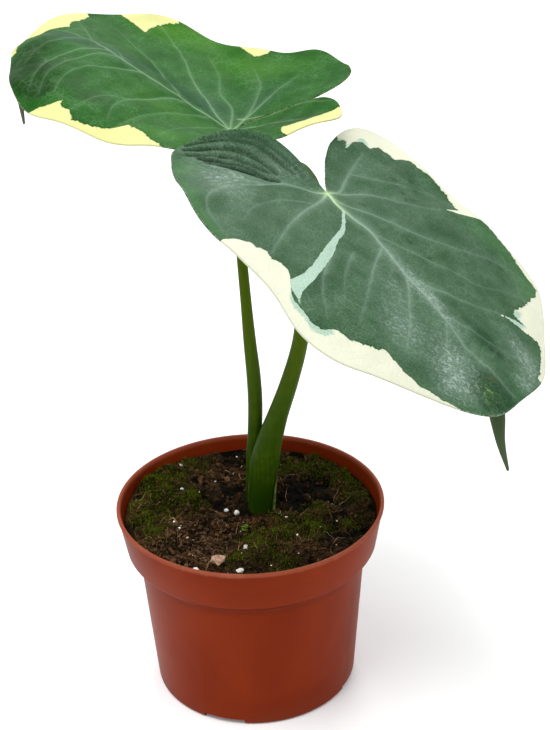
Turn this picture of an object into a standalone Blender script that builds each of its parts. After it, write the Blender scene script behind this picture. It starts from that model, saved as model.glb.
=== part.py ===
"""A two-leaved variegated aroid in its nursery pot, modelled at real size.

The frame has X to the right, Y away from the viewer and Z up. The origin is the
centre of the pot's underside, on the flat the pot stands on. Sizes are in
millimetres and are turned into Blender's metres where a mesh is made.
"""
import math

import bmesh
import bpy
import numpy as np
from mathutils import Vector

MM = 0.001
GAP = 0.3                 # clearance between neighbouring pieces
MERGE = 0.0001            # merge distance of modifiers, in metres

# Pot: a 12 cm nursery pot
RIM_RADIUS = 60.0
POT_HEIGHT = 90.0
POT_WALL = 1.3
LIP_HEIGHT = 1.6
BAND_HEIGHT = 20.0
BAND_FOOT_RADIUS = 56.2
NECK_HEIGHT = 4.5
BODY_RADIUS = 51.0
FOOT_RADIUS = 45.8
FOOT_RISE = 3.0           # how far the drained part of the floor stands up
FOOT_RING_RADIUS = 40.0
BOSS_RADIUS = 16.0
POT_SIDES = 56

# Openings in the pot's foot
NOTCHES = 4
NOTCH_WIDTH = 19.0
NOTCH_HEIGHT = 2.4
FIRST_NOTCH = -110.0      # degrees from +X
DRAINS = 8
DRAIN_RADIUS = 3.2
DRAIN_CIRCLE = 28.0

# Soil
SOIL_LEVEL = 83.0
SOIL_RINGS = 15
SOIL_SPOKES = 56
SOIL_LUMPS = 60
SOIL_SEED = 7
HOLE_CENTRE = (3.5, 4.9)
HOLE_RADIUS = 7.8
HOLE_FLOOR = 58.0

# Blades
BLADE_THICKNESS = 0.8
RIB_THICKNESS = 1.7
RIB_WIDTH = 2.6
RINGS = 11
SPOKES = 70
WALK_STEPS = 6            # steps walked out along a spoke between two rings

# Each blade grows from its root, where the stalk meets it. "Rise" is the slope
# in degrees at which the blade leaves the root in eight directions round it,
# and "arch" is how many degrees it has bent down 100 mm out. Directions start
# opposite the midrib at -180 and go round by 45, with the blade's own left as +.
FRONT_BLADE = dict(
    root=(33.7, -49.1, 255.1),
    heading=-56.0,
    rise=(42, 19, 16, 2, -17.5, -19.5, -14, 6),
    arch=(8, 14, 13, 20, 15, 24, 1, -5),
    arch_power=1.5,
    margin=((-167, 5), (-165, 17.5), (-162, 27.5), (-156, 37.5), (-145, 52),
            (-134, 59.5), (-120, 60), (-105, 61), (-89, 65), (-72, 71), (-60, 76.5),
            (-49, 85.5), (-43, 97), (-37, 104), (-28, 108), (-15, 113), (-4, 117),
            (4, 114), (17, 109), (33, 99), (45, 94.5), (54, 91), (65, 77), (80, 67.5),
            (92, 63.5), (108, 64), (122, 67.5), (130, 61.5), (138, 42), (143.5, 21.5),
            (146, 5)),
    wave=(0.9, 11, 0.4),
    ribs=((0, 0, 108), (-50, 0, 75), (-88, 0, 56), (-128, 0, 52), (66, 0, 66),
          (98, 0, 54), (122, 0, 56)),
    tail=((84.9, -125.2, 213.2), (87.2, -131.6, 204.4),
          (88.7, -134.1, 193.2), (92.2, -131.6, 179.5)),
    tail_radii=(2.6, 3.0, 1.7, 0.5),
)
BACK_BLADE = dict(
    root=(-1.5, 31.6, 252.7),
    heading=163.0,
    rise=(26, 14, 10, 13, 35, 31, 21, 19),
    arch=(14, -27, -27, -13, 60, 68, 90, 58),
    arch_power=3.0,
    margin=((-163, 5), (-156, 28.5), (-151, 42.5), (-145, 54), (-134, 61.5),
            (-123, 66.5), (-108, 70), (-90, 69.5), (-80, 70), (-68, 79), (-58, 92),
            (-45, 101), (-35, 106), (-25, 109), (-12, 110), (0, 107), (14, 102),
            (30, 100), (42, 97.5), (55, 90.5), (67, 83), (78, 75), (88, 71.5),
            (100, 64.5), (112, 57.5), (122, 55), (134, 56.5), (144, 60.5), (151, 65),
            (157, 61), (164, 52.5), (170, 41), (175, 27.5), (180, 6)),
    wave=(1.1, 13, 1.2),
    ribs=((0, 0, 96), (52, 0, 72), (92, 0, 56), (150, 0, 54), (-58, 0, 74),
          (-92, 0, 56), (-130, 0, 52)),
    tail=((-87.5, 57.8, 284.7), (-91.5, 59.9, 276.6),
          (-92.5, 59.4, 263.5), (-91.4, 55.8, 250.9)),
    tail_radii=(2.4, 2.6, 1.5, 0.5),
)

# Stalks: points along the centre line with the radius there
FRONT_STALK = (
    ((4.6, 3.6, 60.0), 5.6), ((4.6, 3.8, 84.0), 5.6), ((5.6, 3.6, 94.0), 6.0),
    ((7.2, 2.8, 108.0), 6.3), ((9.8, 1.6, 120.0), 5.6), ((13.2, -0.2, 132.0), 4.6),
    ((18.8, -2.4, 150.0), 3.9), ((23.9, -5.4, 171.4), 3.4), ((25.0, -12.0, 196.0), 3.1),
    ((22.0, -21.0, 222.0), 2.8), ((19.6, -27.6, 244.0), 2.6), ((20.6, -29.8, 255.0), 2.5),
    ((24.0, -33.0, 259.4), 2.4), ((28.0, -38.6, 257.4), 2.1), ((31.0, -44.4, 252.4), 1.9),
    ((33.6, -49.6, 250.8), 1.8), ((35.4, -52.6, 250.1), 1.6),
)
BACK_STALK = (
    ((0.4, 8.2, 60.0), 2.5), ((0.6, 8.2, 84.0), 2.6), ((1.6, 8.0, 104.0), 2.9),
    ((3.4, 6.6, 124.0), 3.2), ((3.9, 5.6, 138.0), 3.2), ((3.6, 5.4, 150.0), 3.1),
    ((2.6, 5.6, 165.0), 2.8), ((1.6, 6.4, 184.0), 2.4), ((0.4, 9.6, 207.4), 2.2),
    ((-0.6, 18.0, 230.0), 2.0), ((-0.8, 27.4, 245.4), 1.9), ((-1.5, 31.3, 249.9), 1.7),
)
STALK_SIDES = 3           # a curve's bevel resolution, for ten sides
STALK_SPACING = 5.0       # between the points along a stalk

COLOURS = {
    "pot": ((0.19, 0.07, 0.045, 1.0), 0.38),
    "soil": ((0.035, 0.022, 0.014, 1.0), 0.95),
    "stalk": ((0.055, 0.085, 0.018, 1.0), 0.42),
    "front_blade": ((0.10, 0.19, 0.12, 1.0), 0.36),
    "back_blade": ((0.09, 0.22, 0.06, 1.0), 0.36),
}


def clear_scene():
    for obj in list(bpy.data.objects):
        bpy.data.objects.remove(obj, do_unlink=True)


def make_collection(name):
    collection = bpy.data.collections.new(name)
    bpy.context.scene.collection.children.link(collection)
    return collection


def make_material(name):
    colour, roughness = COLOURS[name]
    material = bpy.data.materials.new(name)
    material.use_nodes = True
    shader = material.node_tree.nodes["Principled BSDF"]
    shader.inputs["Base Color"].default_value = colour
    shader.inputs["Roughness"].default_value = roughness
    shader.inputs["Metallic"].default_value = 0.0
    return material


def add_object(name, data, collection, material=None):
    obj = bpy.data.objects.new(name, data)
    collection.objects.link(obj)
    if material:
        data.materials.append(material)
    return obj


def hide_cutter(obj):
    obj.hide_render = True
    obj.display_type = "WIRE"


def add_boolean(obj, cutter, operation):
    modifier = obj.modifiers.new(cutter.name, "BOOLEAN")
    modifier.operation = operation
    modifier.object = cutter
    modifier.solver = "EXACT"
    return modifier


def mesh_from_points(name, points, faces):
    """A mesh from points in millimetres."""
    mesh = bpy.data.meshes.new(name)
    mesh.from_pydata([tuple(c * MM for c in p) for p in points], [], faces)
    mesh.update()
    return mesh


def smooth_shading(obj, degrees=40.0):
    obj.data.shade_smooth()
    obj.data.set_sharp_from_angle(angle=math.radians(degrees))


def smooth_between(knots, values, x):
    """A cubic curve through values at rising knots, read at x."""
    knots = np.asarray(knots, float)
    values = np.asarray(values, float)
    slopes = np.gradient(values, knots, axis=0)
    i = int(np.clip(np.searchsorted(knots, x) - 1, 0, len(knots) - 2))
    span = knots[i + 1] - knots[i]
    t = (x - knots[i]) / span
    a = (1 + 2 * t) * (1 - t) ** 2 * values[i]
    b = t * (1 - t) ** 2 * span * slopes[i]
    c = t * t * (3 - 2 * t) * values[i + 1]
    d = t * t * (t - 1) * span * slopes[i + 1]
    return a + b + c + d


def round_the_root(values, direction):
    """Eight values 45 degrees apart, joined smoothly all the way round."""
    place = (direction + 180.0) / 45.0
    i = math.floor(place)
    t = place - i
    a, b, c, d = (values[(i + k) % 8] for k in (-1, 0, 1, 2))
    return 0.5 * (2 * b + (c - a) * t + (2 * a - 5 * b + 4 * c - d) * t ** 2
                  + (3 * b - a - 3 * c + d) * t ** 3)


def pot_profile():
    """Half section of the pot, up its inside and down its outside."""
    wall = POT_WALL
    band_foot = POT_HEIGHT - BAND_HEIGHT
    neck_foot = band_foot - NECK_HEIGHT
    lip_foot = POT_HEIGHT - LIP_HEIGHT
    inner_floor = FOOT_RISE + wall
    inside = [
        (0.0, wall), (BOSS_RADIUS - wall, wall), (BOSS_RADIUS + 1.0, inner_floor),
        (FOOT_RADIUS - wall - 0.6, inner_floor), (FOOT_RADIUS - wall, inner_floor + 1.0),
        (BODY_RADIUS - wall, neck_foot), (BAND_FOOT_RADIUS - 1.6 * wall, band_foot + 0.4),
        (BAND_FOOT_RADIUS - wall, band_foot + 2.4),
        (RIM_RADIUS - 0.6 - wall, lip_foot), (RIM_RADIUS - 0.4 - wall, POT_HEIGHT - 0.4),
        (RIM_RADIUS - wall, POT_HEIGHT),
    ]
    outside = [
        (RIM_RADIUS - 0.4, POT_HEIGHT), (RIM_RADIUS, POT_HEIGHT - 0.5),
        (RIM_RADIUS, lip_foot + 0.4), (RIM_RADIUS - 0.5, lip_foot),
        (BAND_FOOT_RADIUS + 0.2, band_foot + 0.8), (BAND_FOOT_RADIUS - 0.4, band_foot),
        (BAND_FOOT_RADIUS - 1.6, band_foot - 0.6), (BODY_RADIUS + 0.9, neck_foot + 0.8),
        (BODY_RADIUS, neck_foot - 1.0), (FOOT_RADIUS + 0.1, 2.0),
        (FOOT_RADIUS - 0.4, 0.5), (FOOT_RADIUS - 1.2, 0.0),
        (FOOT_RING_RADIUS + 1.0, 0.0), (FOOT_RING_RADIUS, FOOT_RISE),
        (BOSS_RADIUS + 1.6, FOOT_RISE), (BOSS_RADIUS, 0.0), (0.0, 0.0),
    ]
    return inside + outside


def inner_radius(height):
    """Radius of the pot's inner wall at a height."""
    profile = pot_profile()[3:11]
    return float(np.interp(height, [p[1] for p in profile], [p[0] for p in profile]))


def build_pot(parts, cutters):
    profile = pot_profile()
    edges = [(i, i + 1) for i in range(len(profile) - 1)]
    mesh = bpy.data.meshes.new("pot")
    mesh.from_pydata([(r * MM, 0.0, z * MM) for r, z in profile], edges, [])
    pot = add_object("pot", mesh, parts, make_material("pot"))
    turn = pot.modifiers.new("turn", "SCREW")
    turn.axis = "Z"
    turn.steps = POT_SIDES
    turn.render_steps = POT_SIDES
    turn.use_merge_vertices = True
    turn.merge_threshold = MERGE
    turn.use_smooth_shade = True
    add_boolean(pot, build_foot_cutter(cutters), "DIFFERENCE")
    return pot


def build_foot_cutter(cutters):
    """Slots through the foot ring and holes through the drained floor."""
    shape = bmesh.new()
    for i in range(NOTCHES):
        angle = math.radians(FIRST_NOTCH + 360.0 * i / NOTCHES)
        made = bmesh.ops.create_cube(shape, size=1.0)["verts"]
        bmesh.ops.scale(shape, verts=made, vec=(14.0 * MM, NOTCH_WIDTH * MM, 4.0 * MM))
        centre = Vector((FOOT_RADIUS - 1.0, 0.0, NOTCH_HEIGHT - 2.0)) * MM
        bmesh.ops.translate(shape, verts=made, vec=centre)
        turn_vertices(shape, made, angle)
    for i in range(DRAINS):
        angle = math.radians(FIRST_NOTCH + 360.0 * (i + 0.5) / DRAINS)
        made = bmesh.ops.create_cone(
            shape, cap_ends=True, segments=12, radius1=DRAIN_RADIUS * MM,
            radius2=DRAIN_RADIUS * MM, depth=6.0 * MM)["verts"]
        centre = Vector((DRAIN_CIRCLE, 0.0, FOOT_RISE + 0.6)) * MM
        bmesh.ops.translate(shape, verts=made, vec=centre)
        turn_vertices(shape, made, angle)
    mesh = bpy.data.meshes.new("foot_openings")
    shape.to_mesh(mesh)
    shape.free()
    cutter = add_object("foot_openings", mesh, cutters)
    hide_cutter(cutter)
    return cutter


def turn_vertices(shape, vertices, angle):
    """Turns vertices about the pot's axis."""
    cosine, sine = math.cos(angle), math.sin(angle)
    for vertex in vertices:
        x, y = vertex.co.x, vertex.co.y
        vertex.co.x = x * cosine - y * sine
        vertex.co.y = x * sine + y * cosine


def soil_lumps():
    """Seeded crumbs: place, width and height of each."""
    rng = np.random.default_rng(SOIL_SEED)
    lumps = []
    for _ in range(SOIL_LUMPS):
        radius = 54.0 * math.sqrt(rng.random())
        angle = rng.random() * math.tau
        width = rng.uniform(2.8, 5.5)
        height = rng.uniform(0.7, 2.2) * rng.choice((1.0, 1.0, -0.7))
        lumps.append((radius * math.cos(angle), radius * math.sin(angle), width, height))
    return lumps


def soil_height(x, y, lumps):
    """Height of the soil's surface: a mossy bank at the back left, a dip at the right."""
    z = SOIL_LEVEL
    z += 4.0 * math.exp(-((x + 34.0) ** 2 + (y - 24.0) ** 2) / 22.0 ** 2)
    z += 1.6 * math.exp(-((x - 20.0) ** 2 + (y - 36.0) ** 2) / 16.0 ** 2)
    z -= 3.2 * math.exp(-((x - 48.0) ** 2 + (y + 14.0) ** 2) / 15.0 ** 2)
    z -= 1.2 * math.exp(-((x + 20.0) ** 2 + (y + 42.0) ** 2) / 20.0 ** 2)
    for lx, ly, width, height in lumps:
        reach = ((x - lx) ** 2 + (y - ly) ** 2) / width ** 2
        if reach < 6.0:
            z += height * math.exp(-reach * 1.6)
    return min(z, POT_HEIGHT - 1.2)


def build_soil(parts, cutters):
    lumps = soil_lumps()
    points = []
    faces = []
    edge_heights = []
    for ring in range(1, SOIL_RINGS + 1):
        for spoke in range(SOIL_SPOKES):
            angle = math.tau * (spoke + 0.5 * (ring % 2)) / SOIL_SPOKES
            reach = (ring / SOIL_RINGS) ** 0.85 * (inner_radius(SOIL_LEVEL) - GAP)
            x, y = reach * math.cos(angle), reach * math.sin(angle)
            z = soil_height(x, y, lumps)
            if ring == SOIL_RINGS:
                edge = inner_radius(z) - GAP
                x, y = edge * math.cos(angle), edge * math.sin(angle)
                edge_heights.append(z)
            points.append((x, y, z))
    neck = POT_HEIGHT - BAND_HEIGHT
    floor = FOOT_RISE + POT_WALL + GAP
    for height in (neck + 3.0, neck - NECK_HEIGHT - 0.6, floor + 1.2, floor):
        radius = inner_radius(height) - GAP - (0.25 if height > neck else 0.1)
        for spoke in range(SOIL_SPOKES):
            angle = math.tau * (spoke + 0.5 * (SOIL_RINGS % 2)) / SOIL_SPOKES
            points.append((radius * math.cos(angle), radius * math.sin(angle), height))
    rows = len(points) // SOIL_SPOKES
    for row in range(rows - 1):
        faces += soil_row(row)
    top = len(points)
    points.append((0.0, 0.0, soil_height(0.0, 0.0, lumps)))
    points.append((0.0, 0.0, floor))
    last = (rows - 1) * SOIL_SPOKES
    for spoke in range(SOIL_SPOKES):
        following = (spoke + 1) % SOIL_SPOKES
        faces.append((top, spoke, following))
        faces.append((top + 1, last + following, last + spoke))
    soil = add_object("soil", mesh_from_points("soil", points, faces), parts,
                      make_material("soil"))
    smooth_shading(soil, 50.0)
    add_boolean(soil, build_planting_hole(cutters), "DIFFERENCE")
    return soil


def soil_row(row):
    """Triangles between one ring of soil points and the next."""
    faces = []
    shifted = row < SOIL_RINGS - 1
    for spoke in range(SOIL_SPOKES):
        following = (spoke + 1) % SOIL_SPOKES
        a = row * SOIL_SPOKES + spoke
        b = row * SOIL_SPOKES + following
        c = a + SOIL_SPOKES
        d = b + SOIL_SPOKES
        if shifted and row % 2 == 1:
            faces += [(a, c, b), (c, d, b)]
        else:
            faces += [(a, c, d), (a, d, b)]
    return faces


def build_planting_hole(cutters):
    """The plain hole that the stalks stand in."""
    depth = POT_HEIGHT + 6.0 - HOLE_FLOOR
    bpy.ops.mesh.primitive_cylinder_add(
        vertices=20, radius=HOLE_RADIUS * MM, depth=depth * MM,
        location=(HOLE_CENTRE[0] * MM, HOLE_CENTRE[1] * MM, (HOLE_FLOOR + depth / 2) * MM))
    hole = bpy.context.active_object
    hole.name = "planting_hole"
    for collection in list(hole.users_collection):
        collection.objects.unlink(hole)
    cutters.objects.link(hole)
    hide_cutter(hole)
    return hole


def smooth_path(points, radii, spacing=STALK_SPACING):
    """Points and radii at even spacing along a smooth line through the given ones."""
    points = np.array(points, float)
    steps = np.linalg.norm(np.diff(points, axis=0), axis=1)
    along = np.concatenate([[0.0], np.cumsum(steps)])
    count = max(4, round(along[-1] / spacing))
    places = np.linspace(0.0, along[-1], count + 1)
    path = [smooth_between(along, points, s) for s in places]
    widths = [float(smooth_between(along, radii, s)) for s in places]
    return path, widths


def tube_mesh(name, points, radii, fatter=0.0, spacing=STALK_SPACING, sides=STALK_SIDES):
    """A closed tapering tube, made as a bevelled curve and turned into a mesh."""
    path, widths = smooth_path(points, radii, spacing)
    curve = bpy.data.curves.new(name, "CURVE")
    curve.dimensions = "3D"
    curve.bevel_depth = MM
    curve.bevel_resolution = sides
    curve.use_fill_caps = True
    curve.twist_mode = "MINIMUM"
    spline = curve.splines.new("POLY")
    spline.points.add(len(path) - 1)
    for knot, place, width in zip(spline.points, path, widths):
        knot.co = (*(place * MM), 1.0)
        knot.radius = width + fatter
    holder = bpy.data.objects.new(name, curve)
    bpy.context.scene.collection.objects.link(holder)
    depsgraph = bpy.context.evaluated_depsgraph_get()
    mesh = bpy.data.meshes.new_from_object(holder.evaluated_get(depsgraph))
    bpy.data.objects.remove(holder, do_unlink=True)
    bpy.data.curves.remove(curve)
    shape = bmesh.new()
    shape.from_mesh(mesh)
    bmesh.ops.remove_doubles(shape, verts=shape.verts, dist=MERGE * 0.05)
    bmesh.ops.recalc_face_normals(shape, faces=shape.faces)
    shape.to_mesh(mesh)
    shape.free()
    mesh.name = name
    return mesh


def build_stalks(parts, cutters):
    """The back stalk, and the front one whose foot sheathes it."""
    material = make_material("stalk")
    back_points, back_radii = zip(*BACK_STALK)
    front_points, front_radii = zip(*FRONT_STALK)
    back = add_object("petiole_back", tube_mesh("petiole_back", back_points, back_radii),
                      parts, material)
    front = add_object("petiole_front", tube_mesh("petiole_front", front_points, front_radii),
                       parts, material)
    groove = add_object("sheath_groove",
                        tube_mesh("sheath_groove", back_points, back_radii, fatter=GAP),
                        cutters)
    hide_cutter(groove)
    add_boolean(front, groove, "DIFFERENCE")
    smooth_shading(back)
    smooth_shading(front)
    return front, back


def blade_frame(blade):
    """Forward and left directions of a blade, level with the root."""
    heading = math.radians(blade["heading"])
    forward = np.array((math.cos(heading), math.sin(heading), 0.0))
    left = np.array((-math.sin(heading), math.cos(heading), 0.0))
    return forward, left


def margin_radius(blade, direction):
    angles = [a for a, _ in blade["margin"]]
    radii = [r for _, r in blade["margin"]]
    return float(smooth_between(angles, radii, direction))


def spoke_directions(blade):
    """Directions whose ends lie evenly along the margin."""
    first, last = blade["margin"][0][0], blade["margin"][-1][0]
    fine = np.linspace(first, last, 1400)
    radii = np.array([margin_radius(blade, d) for d in fine])
    x = radii * np.cos(np.radians(fine))
    y = radii * np.sin(np.radians(fine))
    along = np.concatenate([[0.0], np.cumsum(np.hypot(np.diff(x), np.diff(y)))])
    return np.interp(np.linspace(0.0, along[-1], SPOKES), along, fine)


def walk_spoke(blade, direction, reach, rings):
    """Points along one spoke, walked out in short steps that bend down as they go."""
    forward, left = blade_frame(blade)
    angle = math.radians(direction)
    outward = forward * math.cos(angle) + left * math.sin(angle)
    rise = round_the_root(blade["rise"], direction)
    arch = round_the_root(blade["arch"], direction)
    height, cycles, phase = blade["wave"]
    place = np.array(blade["root"], float)
    step = reach / (rings * WALK_STEPS)
    points = []
    walked = 0.0
    for ring in range(rings):
        for _ in range(WALK_STEPS):
            slope = math.radians(rise - arch * ((walked + step / 2) / 100.0) ** blade["arch_power"])
            place = place + step * (outward * math.cos(slope) + np.array((0, 0, math.sin(slope))))
            walked += step
        lift = height * (walked / reach) ** 3 * math.sin(cycles * angle + phase)
        points.append(place + np.array((0.0, 0.0, lift)))
    return points


def rib_weight(blade, direction, distance):
    """1 on a rib and 0 away from it, fading over the rib's width."""
    weight = 0.0
    for rib_direction, start, end in blade["ribs"]:
        aside = math.radians(direction - rib_direction)
        if abs(aside) > math.pi / 2:
            continue
        off = abs(distance * math.sin(aside))
        along = distance * math.cos(aside)
        if start <= along <= end:
            fade = 1.0 - 0.75 * (along / end)
            weight = max(weight, fade * math.exp(-(off / RIB_WIDTH) ** 2))
    return weight


def build_blade(name, blade, parts, cutters, material):
    """One blade: a fan of spokes, thickened below, with its tail joined on."""
    directions = spoke_directions(blade)
    points = [blade["root"]]
    weights = [1.0]
    for direction in directions:
        reach = margin_radius(blade, direction)
        points += walk_spoke(blade, direction, reach, RINGS)
        weights += [rib_weight(blade, direction, reach * (ring + 1) / RINGS)
                    for ring in range(RINGS)]
    mesh = mesh_from_points(name, points, fan_faces())
    leaf = add_object(name, mesh, parts, material)
    group = leaf.vertex_groups.new(name="ribs")
    for index, weight in enumerate(weights):
        group.add([index], weight, "REPLACE")
    thicken = leaf.modifiers.new("thickness", "SOLIDIFY")
    thicken.thickness = RIB_THICKNESS * MM
    thicken.offset = -1.0
    thicken.use_even_offset = False
    thicken.vertex_group = "ribs"
    thicken.thickness_vertex_group = BLADE_THICKNESS / RIB_THICKNESS
    tail = add_object(name + "_tail",
                      tube_mesh(name + "_tail", blade["tail"], blade["tail_radii"],
                                spacing=4.0, sides=1), cutters)
    hide_cutter(tail)
    add_boolean(leaf, tail, "UNION")
    smooth_shading(leaf, 60.0)
    return leaf


def fan_faces():
    """Triangles of the fan, with their diagonals turned alternately."""
    faces = []
    for spoke in range(SPOKES - 1):
        a = 1 + spoke * RINGS
        b = a + RINGS
        faces.append((0, a, b))
        for ring in range(RINGS - 1):
            if (spoke + ring) % 2:
                faces += [(a + ring, a + ring + 1, b + ring + 1),
                          (a + ring, b + ring + 1, b + ring)]
            else:
                faces += [(a + ring, a + ring + 1, b + ring),
                          (a + ring + 1, b + ring + 1, b + ring)]
    return faces


def main():
    clear_scene()
    parts = make_collection("potted_aroid")
    cutters = make_collection("cutters")
    build_pot(parts, cutters)
    build_soil(parts, cutters)
    build_stalks(parts, cutters)
    build_blade("leaf_front", FRONT_BLADE, parts, cutters, make_material("front_blade"))
    build_blade("leaf_back", BACK_BLADE, parts, cutters, make_material("back_blade"))


main()
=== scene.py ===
# %% [markdown]
# # A variegated arrow-leaved plant in its nursery pot
#
# The plant has two big blades on upright stalks. The sizes are settled already:
# the packed model gives the pot, the soil, both stalks and both blades as plain
# solids in metres, with the origin under the pot and Z up. This notebook loads
# them and dresses them, one piece at a time, without changing their size.

# %% Load the model
import math

import bmesh
import bpy
import numpy as np
from mathutils import Matrix, Vector
from mathutils.geometry import delaunay_2d_cdt


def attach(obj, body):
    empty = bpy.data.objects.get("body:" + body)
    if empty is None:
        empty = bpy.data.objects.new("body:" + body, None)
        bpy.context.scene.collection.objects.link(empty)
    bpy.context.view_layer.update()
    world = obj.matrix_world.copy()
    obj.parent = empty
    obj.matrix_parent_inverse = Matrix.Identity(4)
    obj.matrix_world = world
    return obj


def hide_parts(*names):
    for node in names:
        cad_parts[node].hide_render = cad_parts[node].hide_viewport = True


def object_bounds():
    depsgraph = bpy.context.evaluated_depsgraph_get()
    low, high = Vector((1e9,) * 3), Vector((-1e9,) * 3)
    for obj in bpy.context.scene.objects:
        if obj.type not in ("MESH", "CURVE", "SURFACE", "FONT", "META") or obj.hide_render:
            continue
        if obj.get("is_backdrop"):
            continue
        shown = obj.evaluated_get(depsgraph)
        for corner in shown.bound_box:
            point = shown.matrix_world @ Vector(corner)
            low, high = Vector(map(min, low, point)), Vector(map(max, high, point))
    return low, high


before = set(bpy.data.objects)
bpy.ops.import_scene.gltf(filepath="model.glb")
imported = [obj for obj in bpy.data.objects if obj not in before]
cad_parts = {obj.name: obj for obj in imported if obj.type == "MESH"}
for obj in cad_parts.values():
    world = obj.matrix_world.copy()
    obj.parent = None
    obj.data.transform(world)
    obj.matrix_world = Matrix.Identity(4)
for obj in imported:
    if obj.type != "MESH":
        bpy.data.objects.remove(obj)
solid_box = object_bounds()
MM = 0.001
print("solids:", sorted(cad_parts))

# %% [markdown]
# ## The camera
#
# The photograph looks down at the pot by about 27 degrees, from two thirds of a
# metre away, and its lens is turned a little. The three directions below were
# found by fitting the ellipses of the pot's rim and base, so the camera is
# written as its own right, up and backward axes.

# %% Camera
SENSOR_WIDTH = 36.0
FOCAL_PIXELS = 1700.0
PICTURE_HEIGHT = 730.0
camera_data = bpy.data.cameras.new("camera")
camera_data.sensor_width = SENSOR_WIDTH
camera_data.lens = SENSOR_WIDTH * FOCAL_PIXELS / PICTURE_HEIGHT
camera = bpy.data.objects.new("camera", camera_data)
bpy.context.collection.objects.link(camera)
right = Vector((0.999044, -0.034056, -0.027391))
up = Vector((0.039957, 0.457806, 0.888154))
backward = -Vector((0.017707, 0.888399, -0.458730))
placed = Matrix((right, up, backward)).transposed().to_4x4()
placed.translation = Vector((0.0, -0.650168, 0.493121))
camera.matrix_world = placed
bpy.context.scene.camera = camera
print("camera height", round(camera.location.z, 3), "m")

# %% [markdown]
# ## Floor and light
#
# The photograph has a plain white ground and almost no shadow. A wide pale sheet
# that turns up far behind the pot gives that, and an even sky fills the shadows.
# One large lamp at the upper left gives the blades their sheen, a weak one at the
# right keeps the pot's far side readable, and a third lights the plant from behind.
# The floor glows very slightly, which keeps the shadow on it faint.

# %% A sheet that turns up behind the pot
def mesh_object(name, points, faces):
    """A mesh object from points in millimetres."""
    mesh = bpy.data.meshes.new(name)
    mesh.from_pydata([tuple(float(c) * MM for c in p) for p in points], [], faces)
    mesh.update()
    made = bpy.data.objects.new(name, mesh)
    bpy.context.collection.objects.link(made)
    return made


def make_backdrop():
    across = (-6000.0, 6000.0)
    profile = [(-6000.0, 0.0), (2500.0, 0.0)]
    for i in range(1, 13):
        angle = math.radians(90.0 * i / 12)
        profile.append((2500.0 + 1500.0 * math.sin(angle), 1500.0 * (1 - math.cos(angle))))
    profile.append((4000.0, 6000.0))
    points = [(x, y, z - 0.2) for y, z in profile for x in across]
    faces = [(2 * i, 2 * i + 1, 2 * i + 3, 2 * i + 2) for i in range(len(profile) - 1)]
    sheet = mesh_object("floor", points, faces)
    sheet.data.shade_smooth()
    return sheet


floor = make_backdrop()
floor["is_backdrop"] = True
print("backdrop points:", len(floor.data.vertices))

# %% Lamps and sky
def add_lamp(name, place, aim, size, power):
    data = bpy.data.lights.new(name, "AREA")
    data.shape = "DISK"
    data.size = size
    data.energy = power
    lamp = bpy.data.objects.new(name, data)
    bpy.context.collection.objects.link(lamp)
    lamp.location = place
    lamp.rotation_euler = (Vector(aim) - Vector(place)).to_track_quat("-Z", "Y").to_euler()
    return lamp


add_lamp("main_lamp", (-0.5, -0.6, 2.1), (0.0, 0.0, 0.15), 1.5, 40.0)
add_lamp("side_lamp", (1.5, -0.5, 1.1), (0.0, 0.0, 0.15), 1.0, 6.0)
add_lamp("back_lamp", (0.3, 1.6, 1.6), (0.0, 0.0, 0.2), 1.0, 16.0)
world = bpy.data.worlds.new("sky")
bpy.context.scene.world = world
world.use_nodes = True
world.node_tree.nodes["Background"].inputs["Color"].default_value = (0.96, 0.98, 1.0, 1.0)
world.node_tree.nodes["Background"].inputs["Strength"].default_value = 0.56
bpy.context.scene.view_settings.view_transform = "Standard"
print("lamps:", len(bpy.data.lights))

# %% [markdown]
# ## Writing a finish as sums
#
# A material is a net of small nodes. Written out node by node it is long and hard
# to read, so a socket is wrapped in a small class whose plus, minus and times add
# Math nodes. One method makes any other node from its type, its settings and what
# goes into its sockets.

# %% Sockets that can be added and multiplied
class Wire:
    """A node's output. Sums and products of wires and numbers add Math nodes."""

    def __init__(self, finish, socket):
        self.finish = finish
        self.socket = socket

    def math(self, operation, *others):
        inputs = dict(enumerate((self,) + others))
        return self.finish.node("Math", {"operation": operation}, inputs)

    def __add__(self, other):
        return self.math("ADD", other)

    def __sub__(self, other):
        return self.math("SUBTRACT", other)

    def __rsub__(self, other):
        return (self * -1.0) + other

    def __mul__(self, other):
        return self.math("MULTIPLY", other)

    def fade(self, low, high, start=0.0, end=1.0):
        """Eases from start to end as the value goes from low to high."""
        settings = {"interpolation_type": "SMOOTHSTEP"}
        return self.finish.node("MapRange", settings, {0: self, 1: low, 2: high, 3: start, 4: end})

    __radd__ = __add__
    __rmul__ = __mul__


print("a wire's methods:", [name for name in vars(Wire) if name[0] != "_"])

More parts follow.
